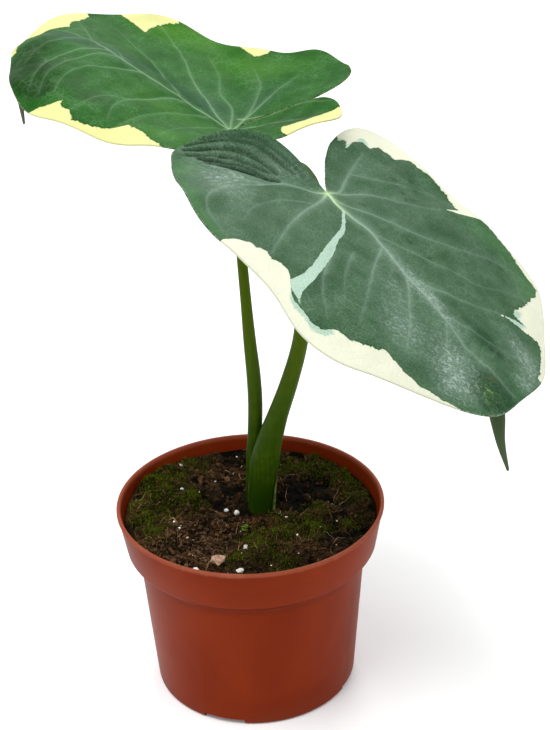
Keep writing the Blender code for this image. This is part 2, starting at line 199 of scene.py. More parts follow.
# %% A material in the making
class Finish:
    """A material in the making."""

    def __init__(self, name):
        self.material = bpy.data.materials.new(name)
        self.material.use_nodes = True
        self.tree = self.material.node_tree
        self.shader = self.tree.nodes["Principled BSDF"]

    def node(self, kind, settings=None, inputs=None, output=0):
        """Makes a node: settings first, then the values or links of its sockets."""
        made = self.tree.nodes.new("ShaderNode" + kind)
        for key, value in (settings or {}).items():
            if key == "stops":
                self.set_stops(made, value)
            else:
                setattr(made, key, value)
        for key, value in (inputs or {}).items():
            self.feed(made.inputs[key], value)
        return Wire(self, made.outputs[output])

    def set_stops(self, ramp, stops):
        elements = ramp.color_ramp.elements
        while len(elements) < len(stops):
            elements.new(0.5)
        for element, (place, colour) in zip(elements, stops):
            element.position = place
            element.color = (*colour, 1.0)

    def feed(self, socket, value):
        if isinstance(value, Wire):
            self.tree.links.new(value.socket, socket)
        elif isinstance(value, (tuple, list)) and len(value) == 3 and socket.type == "RGBA":
            socket.default_value = (*value, 1.0)
        else:
            socket.default_value = value

    def mix(self, below, above, amount):
        """Lays one colour over another by an amount."""
        return self.node("Mix", {"data_type": "RGBA"}, {0: amount, 6: below, 7: above}, output=2)

    def painted(self, name):
        """A number that was stored on the mesh's corners."""
        return self.node("Attribute", {"attribute_name": name}, output=2)

    def place(self):
        """Where a point is, in metres."""
        return self.node("TexCoord", output=3)

    def noise(self, scale, detail=3.0, rough=0.55, where=None, twist=0.0):
        inputs = {"Vector": where or self.place(), "Scale": scale, "Detail": detail,
                  "Roughness": rough, "Distortion": twist}
        return self.node("TexNoise", None, inputs)

    def cells(self, scale, feature="F1", where=None):
        inputs = {"Vector": where or self.place(), "Scale": scale}
        return self.node("TexVoronoi", {"feature": feature}, inputs)

    def bump(self, height, depth, strength=1.0):
        inputs = {"Strength": strength, "Distance": depth, "Height": height}
        return self.node("Bump", None, inputs)

    def surface(self, **inputs):
        """Feeds the shader, naming its sockets with low dashes for spaces."""
        for key, value in inputs.items():
            self.feed(self.shader.inputs[key.replace("_", " ")], value)
        return self.material


print("a finish's methods:", [name for name in vars(Finish) if name[0] != "_"])

# %% The floor's finish
floor_paint = Finish("floor_paint")
floor_tone = floor_paint.noise(2.0, 2.0)
floor.data.materials.append(floor_paint.surface(
    Base_Color=floor_paint.mix((0.93, 0.93, 0.93), (0.96, 0.96, 0.96), floor_tone),
    Roughness=0.9, Specular_IOR_Level=0.1, Emission_Color=(1.0, 1.0, 1.0, 1.0),
    Emission_Strength=0.07))
print("floor painted")

# %% [markdown]
# ## The pot
#
# A nursery pot is blown or moulded in thin terracotta-coloured plastic: a tapered
# cup with a tall band round its rim, a rolled lip, a foot ring with four slots and
# a drained floor. Anything round like this is one turned outline. The Screw
# modifier turns it, a Boolean cuts the slots, and the outline repeats the solid's
# measurements so that the pot keeps its size.

# %% The pot's outline
POT_HEIGHT = 90.0
POT_INSIDE = [(0.0, 1.3), (14.7, 1.3), (17.0, 4.3), (43.9, 4.3), (44.5, 5.3), (49.7, 65.5),
              (54.12, 70.4), (54.9, 72.4), (58.1, 88.4), (58.3, 89.6), (58.7, 90.0)]
POT_OUTSIDE = [(59.6, 90.0), (59.9, 89.8), (60.0, 89.5), (60.0, 88.8), (59.5, 88.4),
               (59.2, 86.9), (56.4, 70.8), (56.1, 70.2), (55.7, 69.9), (54.6, 69.4),
               (51.9, 66.3), (51.2, 65.3), (51.0, 64.5), (45.9, 2.0), (45.7, 1.0),
               (45.4, 0.5), (44.6, 0.0), (41.0, 0.0), (40.0, 3.0), (17.6, 3.0),
               (16.0, 0.0), (0.0, 0.0)]


def turned(name, profile, turns):
    """Turns an outline about the pot's axis and keeps the result as a mesh."""
    mesh = bpy.data.meshes.new(name)
    edges = [(i, i + 1) for i in range(len(profile) - 1)]
    mesh.from_pydata([(r * MM, 0.0, z * MM) for r, z in profile], edges, [])
    made = bpy.data.objects.new(name, mesh)
    bpy.context.collection.objects.link(made)
    turn = made.modifiers.new("turn", "SCREW")
    turn.steps = turn.render_steps = turns
    turn.use_merge_vertices = True
    turn.merge_threshold = 0.00001
    return made


pot = turned("pot_shell", POT_INSIDE + POT_OUTSIDE, 144)
print("points of the pot's outline:", len(POT_INSIDE + POT_OUTSIDE))

# %% Slots and drain holes in the foot
SLOTS = 4
SLOT_SIZE = (0.014, 0.019, 0.004)
SLOT_PLACE = (0.0448, 0.0, 0.0004)
FIRST_SLOT = -110.0
DRAINS = 8
DRAIN_RADIUS = 0.0032
DRAIN_PLACE = (0.028, 0.0, 0.0036)
FIRST_DRAIN = -87.5


def turn_about_pot(shape, points, degrees):
    bmesh.ops.rotate(shape, verts=points, cent=(0, 0, 0),
                     matrix=Matrix.Rotation(math.radians(degrees), 3, "Z"))


def foot_openings():
    shape = bmesh.new()
    for i in range(SLOTS):
        made = bmesh.ops.create_cube(shape, size=1.0)["verts"]
        bmesh.ops.scale(shape, verts=made, vec=SLOT_SIZE)
        bmesh.ops.translate(shape, verts=made, vec=SLOT_PLACE)
        turn_about_pot(shape, made, FIRST_SLOT + 360 / SLOTS * i)
    for i in range(DRAINS):
        made = bmesh.ops.create_cone(shape, cap_ends=True, segments=32, radius1=DRAIN_RADIUS,
                                     radius2=DRAIN_RADIUS, depth=0.006)["verts"]
        bmesh.ops.translate(shape, verts=made, vec=DRAIN_PLACE)
        turn_about_pot(shape, made, FIRST_DRAIN + 360 / DRAINS * i)
    mesh = bpy.data.meshes.new("foot_openings")
    shape.to_mesh(mesh)
    shape.free()
    cutter = bpy.data.objects.new("foot_openings", mesh)
    bpy.context.collection.objects.link(cutter)
    return cutter


openings = foot_openings()
print("foot openings:", SLOTS, "slots and", DRAINS, "holes")

# %% Modifiers made permanent, and the cut
def bake_shape(made, sharp=40.0):
    """Turns an object's modifiers into its own mesh, shaded smooth."""
    depsgraph = bpy.context.evaluated_depsgraph_get()
    baked = bpy.data.meshes.new_from_object(made.evaluated_get(depsgraph))
    made.modifiers.clear()
    made.data = baked
    baked.shade_smooth()
    baked.set_sharp_from_angle(angle=math.radians(sharp))
    return made


def cut(made, cutter):
    """Cuts with another object, which is then thrown away."""
    boolean = made.modifiers.new("cut", "BOOLEAN")
    boolean.operation = "DIFFERENCE"
    boolean.object = cutter
    boolean.solver = "EXACT"
    bake_shape(made)
    bpy.data.objects.remove(cutter, do_unlink=True)
    return made


cut(pot, openings)
print("pot faces:", len(pot.data.polygons))

# %% [markdown]
# ### Moulded terracotta plastic
#
# The plastic is a satin red-brown. What stops it from looking like paint is its
# faint flow marks, fine scratches round the band, a little pale scuffing at the
# lip and dust near the foot. All of these are noises that change the colour and
# the gloss by small amounts. The top of the lip also has a painted highlight, and
# the neck under the band has painted shade.

# %% The pot's finish
plastic = Finish("terracotta_plastic")
where = plastic.place()
height = plastic.node("SeparateXYZ", None, {0: where}, output=2)
flow = plastic.noise(18.0, 4.0, 0.6, twist=0.6)
speck = plastic.noise(900.0, 2.0)
streak = plastic.noise(1.0, 3.0, where=plastic.node(
    "Mapping", None, {0: where, 3: (60.0, 60.0, 1400.0)}))
scuffed = plastic.noise(140.0, 5.0, 0.7).fade(0.52, 0.68) * height.fade(0.0865, 0.0895)
body_tone = plastic.mix((0.215, 0.024, 0.003), (0.170, 0.017, 0.002), flow.fade(0.3, 0.7))
# Painted highlight: the top of the lip is painted lighter.
tone = plastic.mix(body_tone, (0.30, 0.075, 0.040), height.fade(0.0875, 0.0895) * 0.7)
# Painted shade: the neck under the band's overhang is painted darker.
neck = height.fade(0.0610, 0.0690) * height.fade(0.0693, 0.0700, 1.0, 0.0)
tone = plastic.mix(tone, (0.075, 0.007, 0.001), neck * 0.6)
tone = plastic.mix(tone, (0.36, 0.12, 0.07), scuffed * 0.35)
dusty = (1.0 - height.fade(0.0, 0.012)) * flow.fade(0.4, 0.7) * 0.2
tone = plastic.mix(tone, (0.24, 0.07, 0.035), dusty)
roughness = flow * 0.12 + speck * 0.10 + 0.30 + scuffed * 0.15
pot.data.materials.clear()
pot.data.materials.append(plastic.surface(
    Base_Color=tone, Roughness=roughness, Specular_IOR_Level=0.04,
    Normal=plastic.bump(streak * 0.5 + speck * 0.3 + flow * 0.8, 0.00012, 0.5)))
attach(pot, "root")
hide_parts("pot")
print("nodes in the pot's finish:", len(plastic.tree.nodes))

# %% [markdown]
# ## The soil
#
# The potting mix is dark, damp and crumbly, a little below the rim, with a bank of
# moss at the back left and a hollow at the right. Its bed is a fine round grid
# whose height is the solid's own formula with smaller crumbs of noise on top. It
# needs no underside, but it gets one, so that it is a closed body like the solid.

# %% The lie of the soil
SOIL_LEVEL = 83.0
HOLE_CENTRE = (3.5, 4.9)
LIMIT = POT_HEIGHT - 1.2
SOIL_RADIUS = 56.4
SOIL_FLOOR = 60.0


def make_lumps():
    """The solid's own seeded lumps: place, width and height."""
    rng = np.random.default_rng(7)
    lumps = []
    for _ in range(60):
        radius = 54.0 * math.sqrt(rng.random())
        angle = rng.random() * math.tau
        width = rng.uniform(2.8, 5.5)
        height = rng.uniform(0.7, 2.2) * rng.choice((1.0, 1.0, -0.7))
        lumps.append((radius * math.cos(angle), radius * math.sin(angle), width, height))
    return lumps


LUMPS = make_lumps()


def soil_height(x, y):
    """Height of the soil at places given as arrays, in millimetres."""
    z = SOIL_LEVEL + 4.0 * np.exp(-((x + 34.0) ** 2 + (y - 24.0) ** 2) / 22.0 ** 2)
    z = z + 1.6 * np.exp(-((x - 20.0) ** 2 + (y - 36.0) ** 2) / 16.0 ** 2)
    z = z - 3.2 * np.exp(-((x - 48.0) ** 2 + (y + 14.0) ** 2) / 15.0 ** 2)
    z = z - 1.2 * np.exp(-((x + 20.0) ** 2 + (y + 42.0) ** 2) / 20.0 ** 2)
    for lx, ly, width, height in LUMPS:
        z = z + height * np.exp(-1.6 * ((x - lx) ** 2 + (y - ly) ** 2) / width ** 2)
    return np.minimum(z, LIMIT)


print("soil at the middle:", round(float(soil_height(0.0, 0.0)), 1), "mm")

# %% Smooth noise for shapes
def value_noise(x, y, size, seed):
    """Smooth noise from -1 to 1 over a grid of the given size."""
    rng = np.random.default_rng(seed)
    table = rng.uniform(-1.0, 1.0, (64, 64))
    u, v = x / size, y / size
    i, j = np.floor(u).astype(int), np.floor(v).astype(int)
    s, t = u - i, v - j
    s, t = s * s * (3 - 2 * s), t * t * (3 - 2 * t)
    near = table[i % 64, j % 64] * (1 - s) + table[(i + 1) % 64, j % 64] * s
    far = table[i % 64, (j + 1) % 64] * (1 - s) + table[(i + 1) % 64, (j + 1) % 64] * s
    return near * (1 - t) + far * t


def crumbly(x, y):
    """The crumbs of the mix, in millimetres."""
    rough = 1.7 * value_noise(x, y, 5.1, 1) + 1.0 * value_noise(x, y, 2.3, 2)
    return rough + 0.6 * value_noise(x, y, 1.15, 3) + 0.3 * value_noise(x, y, 0.6, 4)


def spot(x, y, cx, cy, wide):
    """A soft round spot, 1 at its middle."""
    return np.exp(-((x - cx) ** 2 + (y - cy) ** 2) / wide ** 2)


def paint(mesh, name, values):
    """Stores one number for each of a mesh's corners."""
    layer = mesh.attributes.new(name, "FLOAT", "POINT")
    layer.data.foreach_set("value", np.asarray(values, np.float32))


print("crumb relief at the middle:", round(float(crumbly(0.0, 0.0)), 2), "mm")

# %% The soil's bed
# Hollows where painted shade darkens the soil.
SHADED_HOLLOWS = [(-10, 20, 9), (22, 17, 8), (31, 16, 8), (50, -17, 9), (36, -21, 8), (-20, 54, 9),
                (-6, 52, 7), (10, 12, 6), (-2, -2, 5), (20, 8, 7), (42, 2, 6), (-14, 8, 5)]


def make_soil():
    rings, spokes = 110, 260
    radii = np.linspace(0.0, SOIL_RADIUS, rings + 1)[1:]
    angles = np.linspace(0.0, math.tau, spokes, endpoint=False)
    r, a = np.meshgrid(radii, angles, indexing="ij")
    x, y = r * np.cos(a), r * np.sin(a)
    calm = np.clip((SOIL_RADIUS - r) / 2.5, 0.0, 1.0)
    z = np.minimum(soil_height(x, y) + crumbly(x, y) * calm, LIMIT + 0.8)
    points = list(zip(x.ravel(), y.ravel(), z.ravel()))
    edge = points[-spokes:]
    points += [(px * 0.87, py * 0.87, SOIL_FLOOR) for px, py, _ in edge]
    points += [(0.0, 0.0, float(soil_height(0.0, 0.0))), (0.0, 0.0, SOIL_FLOOR)]
    top, bottom = len(points) - 2, len(points) - 1
    faces = [(top, s, (s + 1) % spokes) for s in range(spokes)]
    for ring in range(rings):
        for s in range(spokes):
            a, b = ring * spokes + s, ring * spokes + (s + 1) % spokes
            faces.append((a, a + spokes, b + spokes, b))
    base = rings * spokes
    faces += [(bottom, base + (s + 1) % spokes, base + s) for s in range(spokes)]
    bed = mesh_object("soil_bed", points, faces)
    bed.data.shade_smooth()
    x, y = np.array([p[0] for p in points]), np.array([p[1] for p in points])
    # Painted shade: hollows and the low places between crumbs are darker.
    damp = sum(spot(x, y, *hollow) for hollow in SHADED_HOLLOWS) - 0.75 * crumbly(x, y) + 0.15
    paint(bed.data, "damp", np.clip(damp, 0.0, 1.0))
    return bed


soil = make_soil()
print("soil faces:", len(soil.data.polygons))

# %% [markdown]
# ### Damp potting mix
#
# Close to, the mix is nearly black with chips of brown fibre and a few paler
# grains. The hollows and the low places between crumbs are painted darker than the
# crumbs' tops, as shade. Plain noise at two scales gives the chips and grains their
# colours, and cell noise roughens them.

# %% The soil's finish
def make_mix(name, dark, brown, pale):
    mix = Finish(name)
    broad = mix.noise(60.0, 3.0)
    grain = mix.noise(700.0, 4.0, 0.65)
    chips = mix.cells(420.0)
    colour = mix.mix(dark, brown, (broad * 0.6 + grain * 0.6).fade(0.45, 0.85))
    colour = mix.mix(colour, pale, grain.fade(0.60, 0.72) * broad.fade(0.4, 0.6) * 0.7)
    # Painted shade in the hollows.
    colour = mix.mix(colour, (0.002, 0.002, 0.001), mix.painted("damp") * 0.95)
    return mix.surface(
        Base_Color=colour, Roughness=grain * 0.25 + 0.70, Specular_IOR_Level=0.05,
        Normal=mix.bump(grain + chips * 0.6, 0.0009, 0.9))


soil.data.materials.append(make_mix("potting_mix", (0.007, 0.004, 0.002),
                                    (0.070, 0.034, 0.013), (0.22, 0.12, 0.060)))
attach(soil, "root")
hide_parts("soil")
print("nodes in the soil's finish:", len(soil.data.materials[0].node_tree.nodes))

# %% [markdown]
# ## Crumbs, bark, grit and moss
#
# The bed alone looks like a modelled landscape. What makes it soil is the loose
# stuff on it: torn crumbs, flakes of bark, white grains of perlite and patches of
# moss. Each kind is one mesh, made by copying a small rough lump many times to
# seeded places, because separate objects by the hundred would be slow to handle.

# %% A rough lump, and a way to scatter it
def rough_lump(rng, detail=1, squash=(1.0, 1.0, 1.0), jitter=0.25):
    """A ball of radius 1 with its points pushed in and out."""
    shape = bmesh.new()
    bmesh.ops.create_icosphere(shape, subdivisions=detail, radius=1.0)
    points = np.array([v.co[:] for v in shape.verts])
    faces = [tuple(v.index for v in f.verts) for f in shape.faces]
    shape.free()
    points *= 1.0 + rng.uniform(-jitter, jitter, (len(points), 1))
    return points * np.array(squash), faces


def spin(rng, tilt=0.6):
    """A random turn that mostly keeps its top up."""
    turned_by = Matrix.Rotation(rng.uniform(0, math.tau), 3, "Z")
    leaned = Matrix.Rotation(rng.normal(0, tilt), 3, "X")
    return np.array(leaned @ turned_by)


print("faces of a lump:", len(rough_lump(np.random.default_rng(0))[1]))

# %% Lumps copied to many places
def scatter(name, count, seed, make, places, sizes, sink=0.3, tilt=0.6):
    """Copies lumps to seeded places on the soil, as one mesh."""
    rng = np.random.default_rng(seed)
    all_points, all_faces, start = [], [], 0
    for _ in range(count):
        points, faces = make(rng)
        x, y = places(rng)
        size = rng.uniform(*sizes)
        z = float(soil_height(x, y) + crumbly(x, y)) + size * (0.5 - sink)
        points = (points * size) @ spin(rng, tilt).T + np.array((x, y, min(z, LIMIT)))
        all_points.append(points)
        all_faces += [tuple(i + start for i in f) for f in faces]
        start += len(points)
    made = mesh_object(name, np.concatenate(all_points), all_faces)
    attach(made, "root")
    return made


def allowed(x, y, reach=54.0, hole=8.5):
    """True on the soil, off the stalks."""
    return math.hypot(x, y) < reach and math.hypot(x - HOLE_CENTRE[0], y - HOLE_CENTRE[1]) > hole


def anywhere(rng, reach=54.0):
    """A place on the soil, seldom in a hollow with painted shade."""
    while True:
        x, y = rng.uniform(-reach, reach, 2)
        hollow = max(float(spot(x, y, *place)) for place in SHADED_HOLLOWS)
        if allowed(x, y, reach) and rng.random() > 1.3 * hollow:
            return x, y


def cluster(cx, cy, spread):
    """A way to pick places round one point."""
    def pick(rng):
        while True:
            x, y = cx + rng.normal(0, spread), cy + rng.normal(0, spread)
            if allowed(x, y):
                return x, y
    return pick


print("stalks' hole counts as soil:", allowed(*HOLE_CENTRE))

# %% Crumbs of the mix
crumbs = scatter("soil_crumbs", 3600, 11, lambda rng: rough_lump(rng, 1, (1, 1, 0.8), 0.35),
                 anywhere, (0.30, 1.15))
crumbs.data.materials.append(make_mix("brown_crumbs", (0.011, 0.006, 0.002),
                                      (0.105, 0.052, 0.020), (0.30, 0.18, 0.095)))
print("crumb faces:", len(crumbs.data.polygons))

light_crumbs = scatter("light_crumbs", 420, 19, lambda rng: rough_lump(rng, 1, (1, 0.8, 0.6), 0.35),
                       cluster(-27, -24, 9), (0.35, 1.0), 0.2)
light_crumbs.data.materials.append(make_mix("light_crumbs", (0.050, 0.026, 0.013),
                                            (0.23, 0.125, 0.070), (0.48, 0.31, 0.21)))

# %% Flakes of bark
def bark_flake(rng):
    return rough_lump(rng, 1, (1.0, rng.uniform(0.22, 0.6), 0.22), 0.42)


bark = scatter("bark_flakes", 170, 12, bark_flake, anywhere, (0.9, 2.6), 0.25, 0.5)
bark_brown = Finish("bark_brown")
fibre = bark_brown.noise(1.0, 4.0, 0.6, where=bark_brown.node(
    "Mapping", None, {0: bark_brown.place(), 3: (300.0, 1500.0, 600.0)}))
bark_tone = bark_brown.noise(45.0, 1.0)
bark.data.materials.append(bark_brown.surface(
    Base_Color=bark_brown.mix(
        bark_brown.mix((0.022, 0.010, 0.004), (0.095, 0.038, 0.014), bark_tone.fade(0.35, 0.65)),
        (0.21, 0.10, 0.045), fibre.fade(0.5, 0.75) * 0.6),
    Roughness=fibre * 0.2 + 0.62, Specular_IOR_Level=0.1,
    Normal=bark_brown.bump(fibre, 0.0006, 0.8)))
print("bark faces:", len(bark.data.polygons))

# %% One pale chip near the front
chip = scatter("pale_chip", 1, 5, lambda rng: rough_lump(rng, 1, (1.0, 0.75, 0.4), 0.32),
               cluster(-15.0, -40.0, 0.2), (4.2, 4.4), 0.15, 0.3)
pale_wood = Finish("pale_wood")
wood_grain = pale_wood.noise(500.0, 4.0, 0.6)
chip.data.materials.append(pale_wood.surface(
    Base_Color=pale_wood.mix((0.20, 0.10, 0.055), (0.50, 0.30, 0.19), wood_grain.fade(0.35, 0.65)),
    Roughness=wood_grain * 0.2 + 0.6, Normal=pale_wood.bump(wood_grain, 0.0005, 0.8)))

print("chip faces:", len(chip.data.polygons))

# %% White grains, most of them where the photograph shows one
GRAINS = [(-31.7, 38.8, 1.2), (-3.1, 40.5, 0.8), (-31.1, 15.9, 0.9), (-11.0, 2.7, 1.1),
          (-6.4, 0.6, 1.7), (-34.3, -9.0, 0.9), (-32.0, -12.1, 0.7), (-28.5, -16.7, 0.9),
          (15.9, -4.9, 0.8), (20.0, -22.5, 0.8), (-2.7, -27.8, 1.7), (-5.8, -45.8, 1.8),
          (-24.4, -42.2, 1.6), (-25.9, 34.8, 0.6)]
tiny = np.random.default_rng(15)
GRAINS += [(*anywhere(tiny), tiny.uniform(0.2, 0.5)) for _ in range(30)]
grain_places, grain_sizes = iter(GRAINS), iter(GRAINS)


def white_grain(rng):
    """A bubbly grain of the next listed size, a little longer than wide."""
    points, faces = rough_lump(rng, 2, (1, rng.uniform(0.55, 0.9), 0.7), 0.16)
    return points * next(grain_sizes)[2], faces


grains = scatter("perlite_grains", len(GRAINS), 14, white_grain,
                 lambda rng: next(grain_places)[:2], (0.95, 1.05), 0.0)
perlite = Finish("white_perlite")
pores = perlite.cells(1500.0)
stain = perlite.noise(200.0, 3.0)
grains.data.materials.append(perlite.surface(
    Base_Color=perlite.mix((0.82, 0.80, 0.75), (0.40, 0.34, 0.27), stain.fade(0.55, 0.8)),
    Roughness=stain * 0.2 + 0.75, Normal=perlite.bump(pores, 0.0004, 0.7)))
print("grain faces:", len(grains.data.polygons))

# %% [markdown]
# ### Loose fibres
#
# Peat and coir leave fine threads on the surface, which catch the light and cross
# the crumbs. Each is a thin three-sided tube that wanders a little as it goes, and
# follows the soil's height. One small green seedling stands in front of the stalks.

# %% Threads of coir
def coir_threads(count=110, seed=17):
    rng = np.random.default_rng(seed)
    points, faces = [], []
    for _ in range(count):
        x, y = anywhere(rng, 50.0)
        heading, turn = rng.uniform(0, math.tau), rng.normal(0, 0.16)
        thick, steps = rng.uniform(0.09, 0.20), rng.integers(5, 13)
        lift = rng.uniform(0.2, 1.3)
        for k in range(steps):
            if not allowed(x, y, 54.5, 8.0):
                break
            arch = lift * math.sin(math.pi * k / (steps - 1))
            z = min(float(soil_height(x, y) + crumbly(x, y)) + 0.1 + arch, LIMIT)
            for side in range(3):
                angle = side * math.tau / 3
                out = thick * math.cos(angle)
                points.append((x - out * math.sin(heading), y + out * math.cos(heading),
                               z + thick * math.sin(angle)))
                if k > 0:
                    a, b = len(points) - 4, len(points) - 4 + (1 if side < 2 else -2)
                    faces.append((a, b, b + 3, a + 3))
            heading += turn + rng.normal(0, 0.12)
            x, y = x + 1.1 * math.cos(heading), y + 1.1 * math.sin(heading)
    return mesh_object("coir_threads", points, faces)


threads = coir_threads()
coir = Finish("coir_brown")
coir_tone = coir.noise(60.0, 2.0)
threads.data.materials.append(coir.surface(
    Base_Color=coir.mix((0.05, 0.024, 0.010), (0.33, 0.20, 0.10), coir_tone.fade(0.35, 0.65)),
    Roughness=coir_tone * 0.2 + 0.6, Specular_IOR_Level=0.1))
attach(threads, "root")
print("threads faces:", len(threads.data.polygons))

# %% A green seedling
seedling = scatter("green_seedling", 5, 18, lambda rng: rough_lump(rng, 2, (1.0, 0.6, 0.14), 0.1),
                   cluster(-2.7, -12.7, 1.0), (1.7, 2.5), -0.3, 0.4)
seedling_green = Finish("seedling_green")
seedling_tone = seedling_green.noise(400.0, 3.0)
seedling.data.materials.append(seedling_green.surface(
    Base_Color=seedling_green.mix((0.060, 0.120, 0.008), (0.17, 0.27, 0.03),
                                  seedling_tone.fade(0.35, 0.65)),
    Roughness=seedling_tone * 0.2 + 0.5, Specular_IOR_Level=0.1))
print("seedling faces:", len(seedling.data.polygons))

# %% [markdown]
# ### Moss
#
# The moss grows in cushions of tiny upright shoots. A shoot is too small to need
# leaves: a thin three-sided spike is enough, and thousands of them, leaning every
# way and crowding into cushions, read as moss. Their colour runs from olive to
# nearly black, so cushions have depth.

# %% Moss shoots
MOSS_PATCHES = [(-46, 26, 9), (-44, 12, 10), (-46, -2, 8), (-36, 9, 9), (-25, 8, 6),
                (-43, -14, 6), (-38, 24, 10), (-26, 40, 7), (18, 37, 7), (31, 37, 8),
                (37, 36, 9), (44, 25, 8), (48, 8, 7), (45, -9, 6), (28, -15, 8), (15, -18, 7),
                (2, -20, 7), (7, -31, 8), (-7, -36, 6), (12, -5, 5), (22, -8, 6), (30, 2, 6),
                (14, -44, 6)]


def moss_shoots(count=22000, seed=21):
    rng = np.random.default_rng(seed)
    weights = np.array([p[2] ** 2 for p in MOSS_PATCHES], float)
    points, faces = [], []
    while len(faces) < count * 3:
        cx, cy, spread = MOSS_PATCHES[rng.choice(len(weights), p=weights / weights.sum())]
        x, y = cx + rng.normal(0, spread * 0.55), cy + rng.normal(0, spread * 0.55)
        hollow = max(float(spot(x, y, *place)) for place in SHADED_HOLLOWS)
        if not allowed(x, y, 55.2, 7.8) or rng.random() < 1.2 * hollow:
            continue
        z = float(soil_height(x, y) + crumbly(x, y)) - 0.3
        tall = rng.uniform(0.7, 2.1)
        lean = rng.normal(0, 0.45, 2) * tall
        tip_z = min(z + tall, POT_HEIGHT - 0.1)
        turn, wide = rng.uniform(0, math.tau), rng.uniform(0.18, 0.40)
        start = len(points)
        for k in range(3):
            angle = turn + k * math.tau / 3
            points.append((x + wide * math.cos(angle), y + wide * math.sin(angle), z))
        reach = math.hypot(x + lean[0], y + lean[1])
        keep = min(1.0, 56.2 / max(reach, 1.0))
        points.append(((x + lean[0]) * keep, (y + lean[1]) * keep, tip_z))
        faces += [(start + k, start + (k + 1) % 3, start + 3) for k in range(3)]
    return mesh_object("moss", points, faces)


moss = moss_shoots()
moss_green = Finish("moss_green")
patchy = moss_green.noise(90.0, 3.0)
single = moss_green.noise(1200.0, 1.0)
moss.data.materials.append(moss_green.surface(
    Base_Color=moss_green.mix(
        moss_green.mix((0.013, 0.020, 0.001), (0.066, 0.088, 0.004), patchy.fade(0.38, 0.62)),
        (0.18, 0.22, 0.012), single.fade(0.5, 0.7) * 0.65),
    Roughness=single * 0.2 + 0.6, Specular_IOR_Level=0.05))
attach(moss, "root")
print("moss faces:", len(moss.data.polygons))

# %% [markdown]
# ## The stalks
#
# A stalk is a tapering tube that grows wide and hollow-sided at its foot, where
# the front one sheathes the back one. A curve with a round bevel makes a tube
# whose radius can change along its length. The points are the solid's own, with a
# smooth curve through them. The sheath is cut with a slightly fatter copy of the
# back stalk, as the solid's is.

# %% Points along the stalks
FRONT_STALK = (
    ((4.6, 3.6, 76.0), 5.6), ((4.6, 3.8, 84.0), 5.6), ((5.6, 3.6, 94.0), 6.0),
    ((7.2, 2.8, 108.0), 6.3), ((9.8, 1.6, 120.0), 5.6), ((13.2, -0.2, 132.0), 4.6),
    ((18.8, -2.4, 150.0), 3.9), ((23.9, -5.4, 171.4), 3.4), ((25.0, -12.0, 196.0), 3.1),
    ((22.0, -21.0, 222.0), 2.8), ((19.6, -27.6, 244.0), 2.6), ((20.6, -29.8, 255.0), 2.5),
    ((24.0, -33.0, 259.4), 2.4), ((28.0, -38.6, 257.4), 2.1), ((31.0, -44.4, 252.4), 1.9),
    ((33.6, -49.6, 250.8), 1.8), ((35.4, -52.6, 250.1), 1.6),
)
BACK_STALK = (
    ((0.5, 8.2, 76.0), 2.5), ((0.6, 8.2, 84.0), 2.6), ((1.6, 8.0, 104.0), 2.9),
    ((3.4, 6.6, 124.0), 3.2), ((3.9, 5.6, 138.0), 3.2), ((3.6, 5.4, 150.0), 3.1),
    ((2.6, 5.6, 165.0), 2.8), ((1.6, 6.4, 184.0), 2.4), ((0.4, 9.6, 207.4), 2.2),
    ((-0.6, 18.0, 230.0), 2.0), ((-0.8, 27.4, 245.4), 1.9), ((-1.5, 31.3, 249.9), 1.7),
)
print("stalk tops:", FRONT_STALK[-1][0], BACK_STALK[-1][0])

# %% A smooth curve through points
def through(knots, values, x):
    """A smooth curve through values at rising knots, read at every x."""
    knots, values = np.asarray(knots, float), np.asarray(values, float)
    slopes = np.gradient(values, knots, axis=0)
    x = np.atleast_1d(x)
    i = np.clip(np.searchsorted(knots, x) - 1, 0, len(knots) - 2)
    span = knots[i + 1] - knots[i]
    t = np.clip((x - knots[i]) / span, 0.0, 1.0)
    if values.ndim == 2:
        span, t = span[:, None], t[:, None]
    return ((1 + 2 * t) * (1 - t) ** 2 * values[i] + t * (1 - t) ** 2 * span * slopes[i]
            + t * t * (3 - 2 * t) * values[i + 1] + t * t * (t - 1) * span * slopes[i + 1])


print("halfway from 0 to 10:", float(through((0, 1), (0, 10), 0.5)[0]))

# %% Tubes from curves
def tube(name, stations, fatter=0.0, spacing=1.0, sides=14):
    """A closed tapering tube along points in millimetres, as a mesh object."""
    points, radii = zip(*stations)
    steps = np.linalg.norm(np.diff(np.array(points, float), axis=0), axis=1)
    along = np.concatenate([[0.0], np.cumsum(steps)])
    places = np.linspace(0.0, along[-1], max(6, round(along[-1] / spacing)))
    path, widths = through(along, points, places), through(along, radii, places)
    curve = bpy.data.curves.new(name, "CURVE")
    curve.dimensions = "3D"
    curve.bevel_depth = MM
    curve.bevel_resolution = sides
    curve.use_fill_caps = True
    line = curve.splines.new("POLY")
    line.points.add(len(path) - 1)
    for knot, place, width in zip(line.points, path, widths):
        knot.co = (*(place * MM), 1.0)
        knot.radius = width + fatter
    made = bpy.data.objects.new(name, curve)
    bpy.context.collection.objects.link(made)
    depsgraph = bpy.context.evaluated_depsgraph_get()
    mesh = bpy.data.meshes.new_from_object(made.evaluated_get(depsgraph))
    bpy.data.objects.remove(made, do_unlink=True)
    shape = bmesh.new()
    shape.from_mesh(mesh)
    bmesh.ops.remove_doubles(shape, verts=shape.verts, dist=0.000004)
    shape.to_mesh(mesh)
    shape.free()
    made = bpy.data.objects.new(name, mesh)
    bpy.context.collection.objects.link(made)
    mesh.shade_smooth()
    return made


stalk_front = cut(tube("stalk_front", FRONT_STALK), tube("groove", BACK_STALK, fatter=0.3))
stalk_back = tube("stalk_back", BACK_STALK)
print("stalk faces:", len(stalk_front.data.polygons), len(stalk_back.data.polygons))
